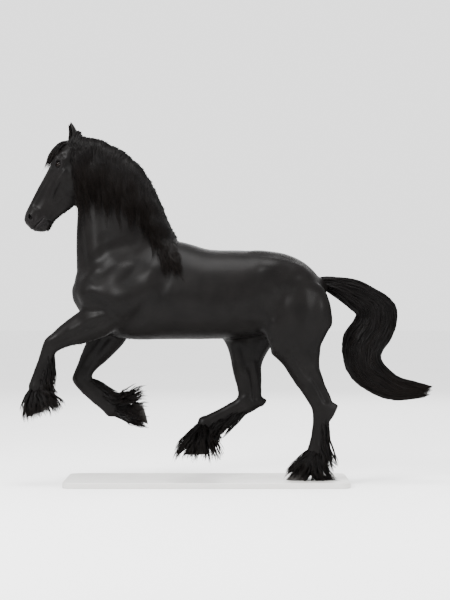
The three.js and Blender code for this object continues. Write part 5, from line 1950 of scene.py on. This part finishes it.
class HORSE_OT_stage(bpy.types.Operator):
    """Makes the floor, the soft lights, the room's light and the camera"""

    bl_idname = "horse.stage"
    bl_label = "Stage"

    def execute(self, context):
        stage = context.scene.horse_stage
        mesh = bpy.data.meshes.new("floor")
        corners = [(-FLOOR_REACH, -FLOOR_REACH, 0), (FLOOR_REACH, -FLOOR_REACH, 0)]
        corners += [(FLOOR_REACH, FLOOR_REACH, 0), (-FLOOR_REACH, FLOOR_REACH, 0)]
        mesh.from_pydata(corners, [], [(0, 1, 2, 3)])
        floor = new_object("floor", mesh)
        paint, colour = Paint("floor_paint", Roughness=0.9), stage.floor_colour
        shade = paint.cloud(paint.place(), 0.4, (0.3, tint(colour, 0.98)), (0.7, colour))
        mesh.materials.append(paint.to_shader(Base_Color=shade))
        world = bpy.data.worlds.new("room")
        world.use_nodes = True
        sky = world.node_tree.nodes["Background"]
        sky.inputs["Color"].default_value = (1, 1, 1, 1)
        sky.inputs["Strength"].default_value = SKY_STRENGTH
        context.scene.world = world
        # Each lamp: its place, its size, and its share of the power
        lamps = (
            ("key", (-4.5, -5.5, 5.5), 2.6, 1.0), ("fill", (5.5, -5.5, 2.6), 2.4, 0.35),
            ("rim", (1.5, 9.5, 6.0), 4.0, 0.4), ("top", (-0.4, -0.8, 6.5), 3.2, 0.5),
        )
        for name, spot, size, share in lamps:
            data = bpy.data.lights.new(name, "AREA")
            data.size = size
            data.energy = stage.lamp_power * share
            lamp = new_object(name, data)
            lamp.location = spot
            lamp.rotation_mode = "QUATERNION"
            lamp.rotation_quaternion = (Vector(LAMP_AIM) - lamp.location).to_track_quat("-Z", "Y")
        data = bpy.data.cameras.new("camera")
        data.sensor_width = SENSOR
        data.lens = SENSOR * stage.distance / VIEW_WIDTH
        data.clip_end = 200
        camera = new_object("camera", data)
        camera.location = (VIEW_CENTRE[0], -stage.distance, VIEW_CENTRE[1])
        camera.rotation_euler = (math.pi / 2, 0, 0)
        context.scene.camera = camera
        return {"FINISHED"}


OPERATORS = [
    HORSE_OT_skin, HORSE_OT_eyes, HORSE_OT_hooves, HORSE_OT_mane, HORSE_OT_forelock, HORSE_OT_tail,
    HORSE_OT_feather, HORSE_OT_tufts, HORSE_OT_bristles, HORSE_OT_base, HORSE_OT_stage,
]


class HORSE_PT_pieces(bpy.types.Panel):
    """Lists the pieces of the horse in the sidebar"""

    bl_idname = "HORSE_PT_pieces"
    bl_label = "Friesian horse"
    bl_space_type = "VIEW_3D"
    bl_region_type = "UI"
    bl_category = "Horse"

    def draw(self, context):
        for operator in OPERATORS:
            self.layout.operator(operator.bl_idname)
        for name in SETTINGS:
            settings = getattr(context.scene, name)
            box = self.layout.box()
            for prop in settings.bl_rna.properties:
                if prop.identifier not in {"rna_type", "name"}:
                    box.prop(settings, prop.identifier)


SETTINGS = {
    "horse_skin": HorseSkinSettings, "horse_hair": HorseHairSettings,
    "horse_trim": HorseTrimSettings, "horse_stage": HorseStageSettings,
}


def register():
    for kind in (*SETTINGS.values(), *OPERATORS, HORSE_PT_pieces):
        bpy.utils.register_class(kind)
    for name, kind in SETTINGS.items():
        setattr(bpy.types.Scene, name, bpy.props.PointerProperty(type=kind))


def unregister():
    for name in SETTINGS:
        delattr(bpy.types.Scene, name)
    for kind in reversed((*SETTINGS.values(), *OPERATORS, HORSE_PT_pieces)):
        bpy.utils.unregister_class(kind)


def main():
    register()
    bpy.ops.horse.stage()
    bpy.ops.horse.skin()
    bpy.ops.horse.eyes()
    bpy.ops.horse.hooves()
    bpy.ops.horse.mane()
    bpy.ops.horse.forelock()
    bpy.ops.horse.tail()
    bpy.ops.horse.feather()
    bpy.ops.horse.tufts()
    bpy.ops.horse.bristles()
    bpy.ops.horse.base()


if __name__ == "__main__":
    main()
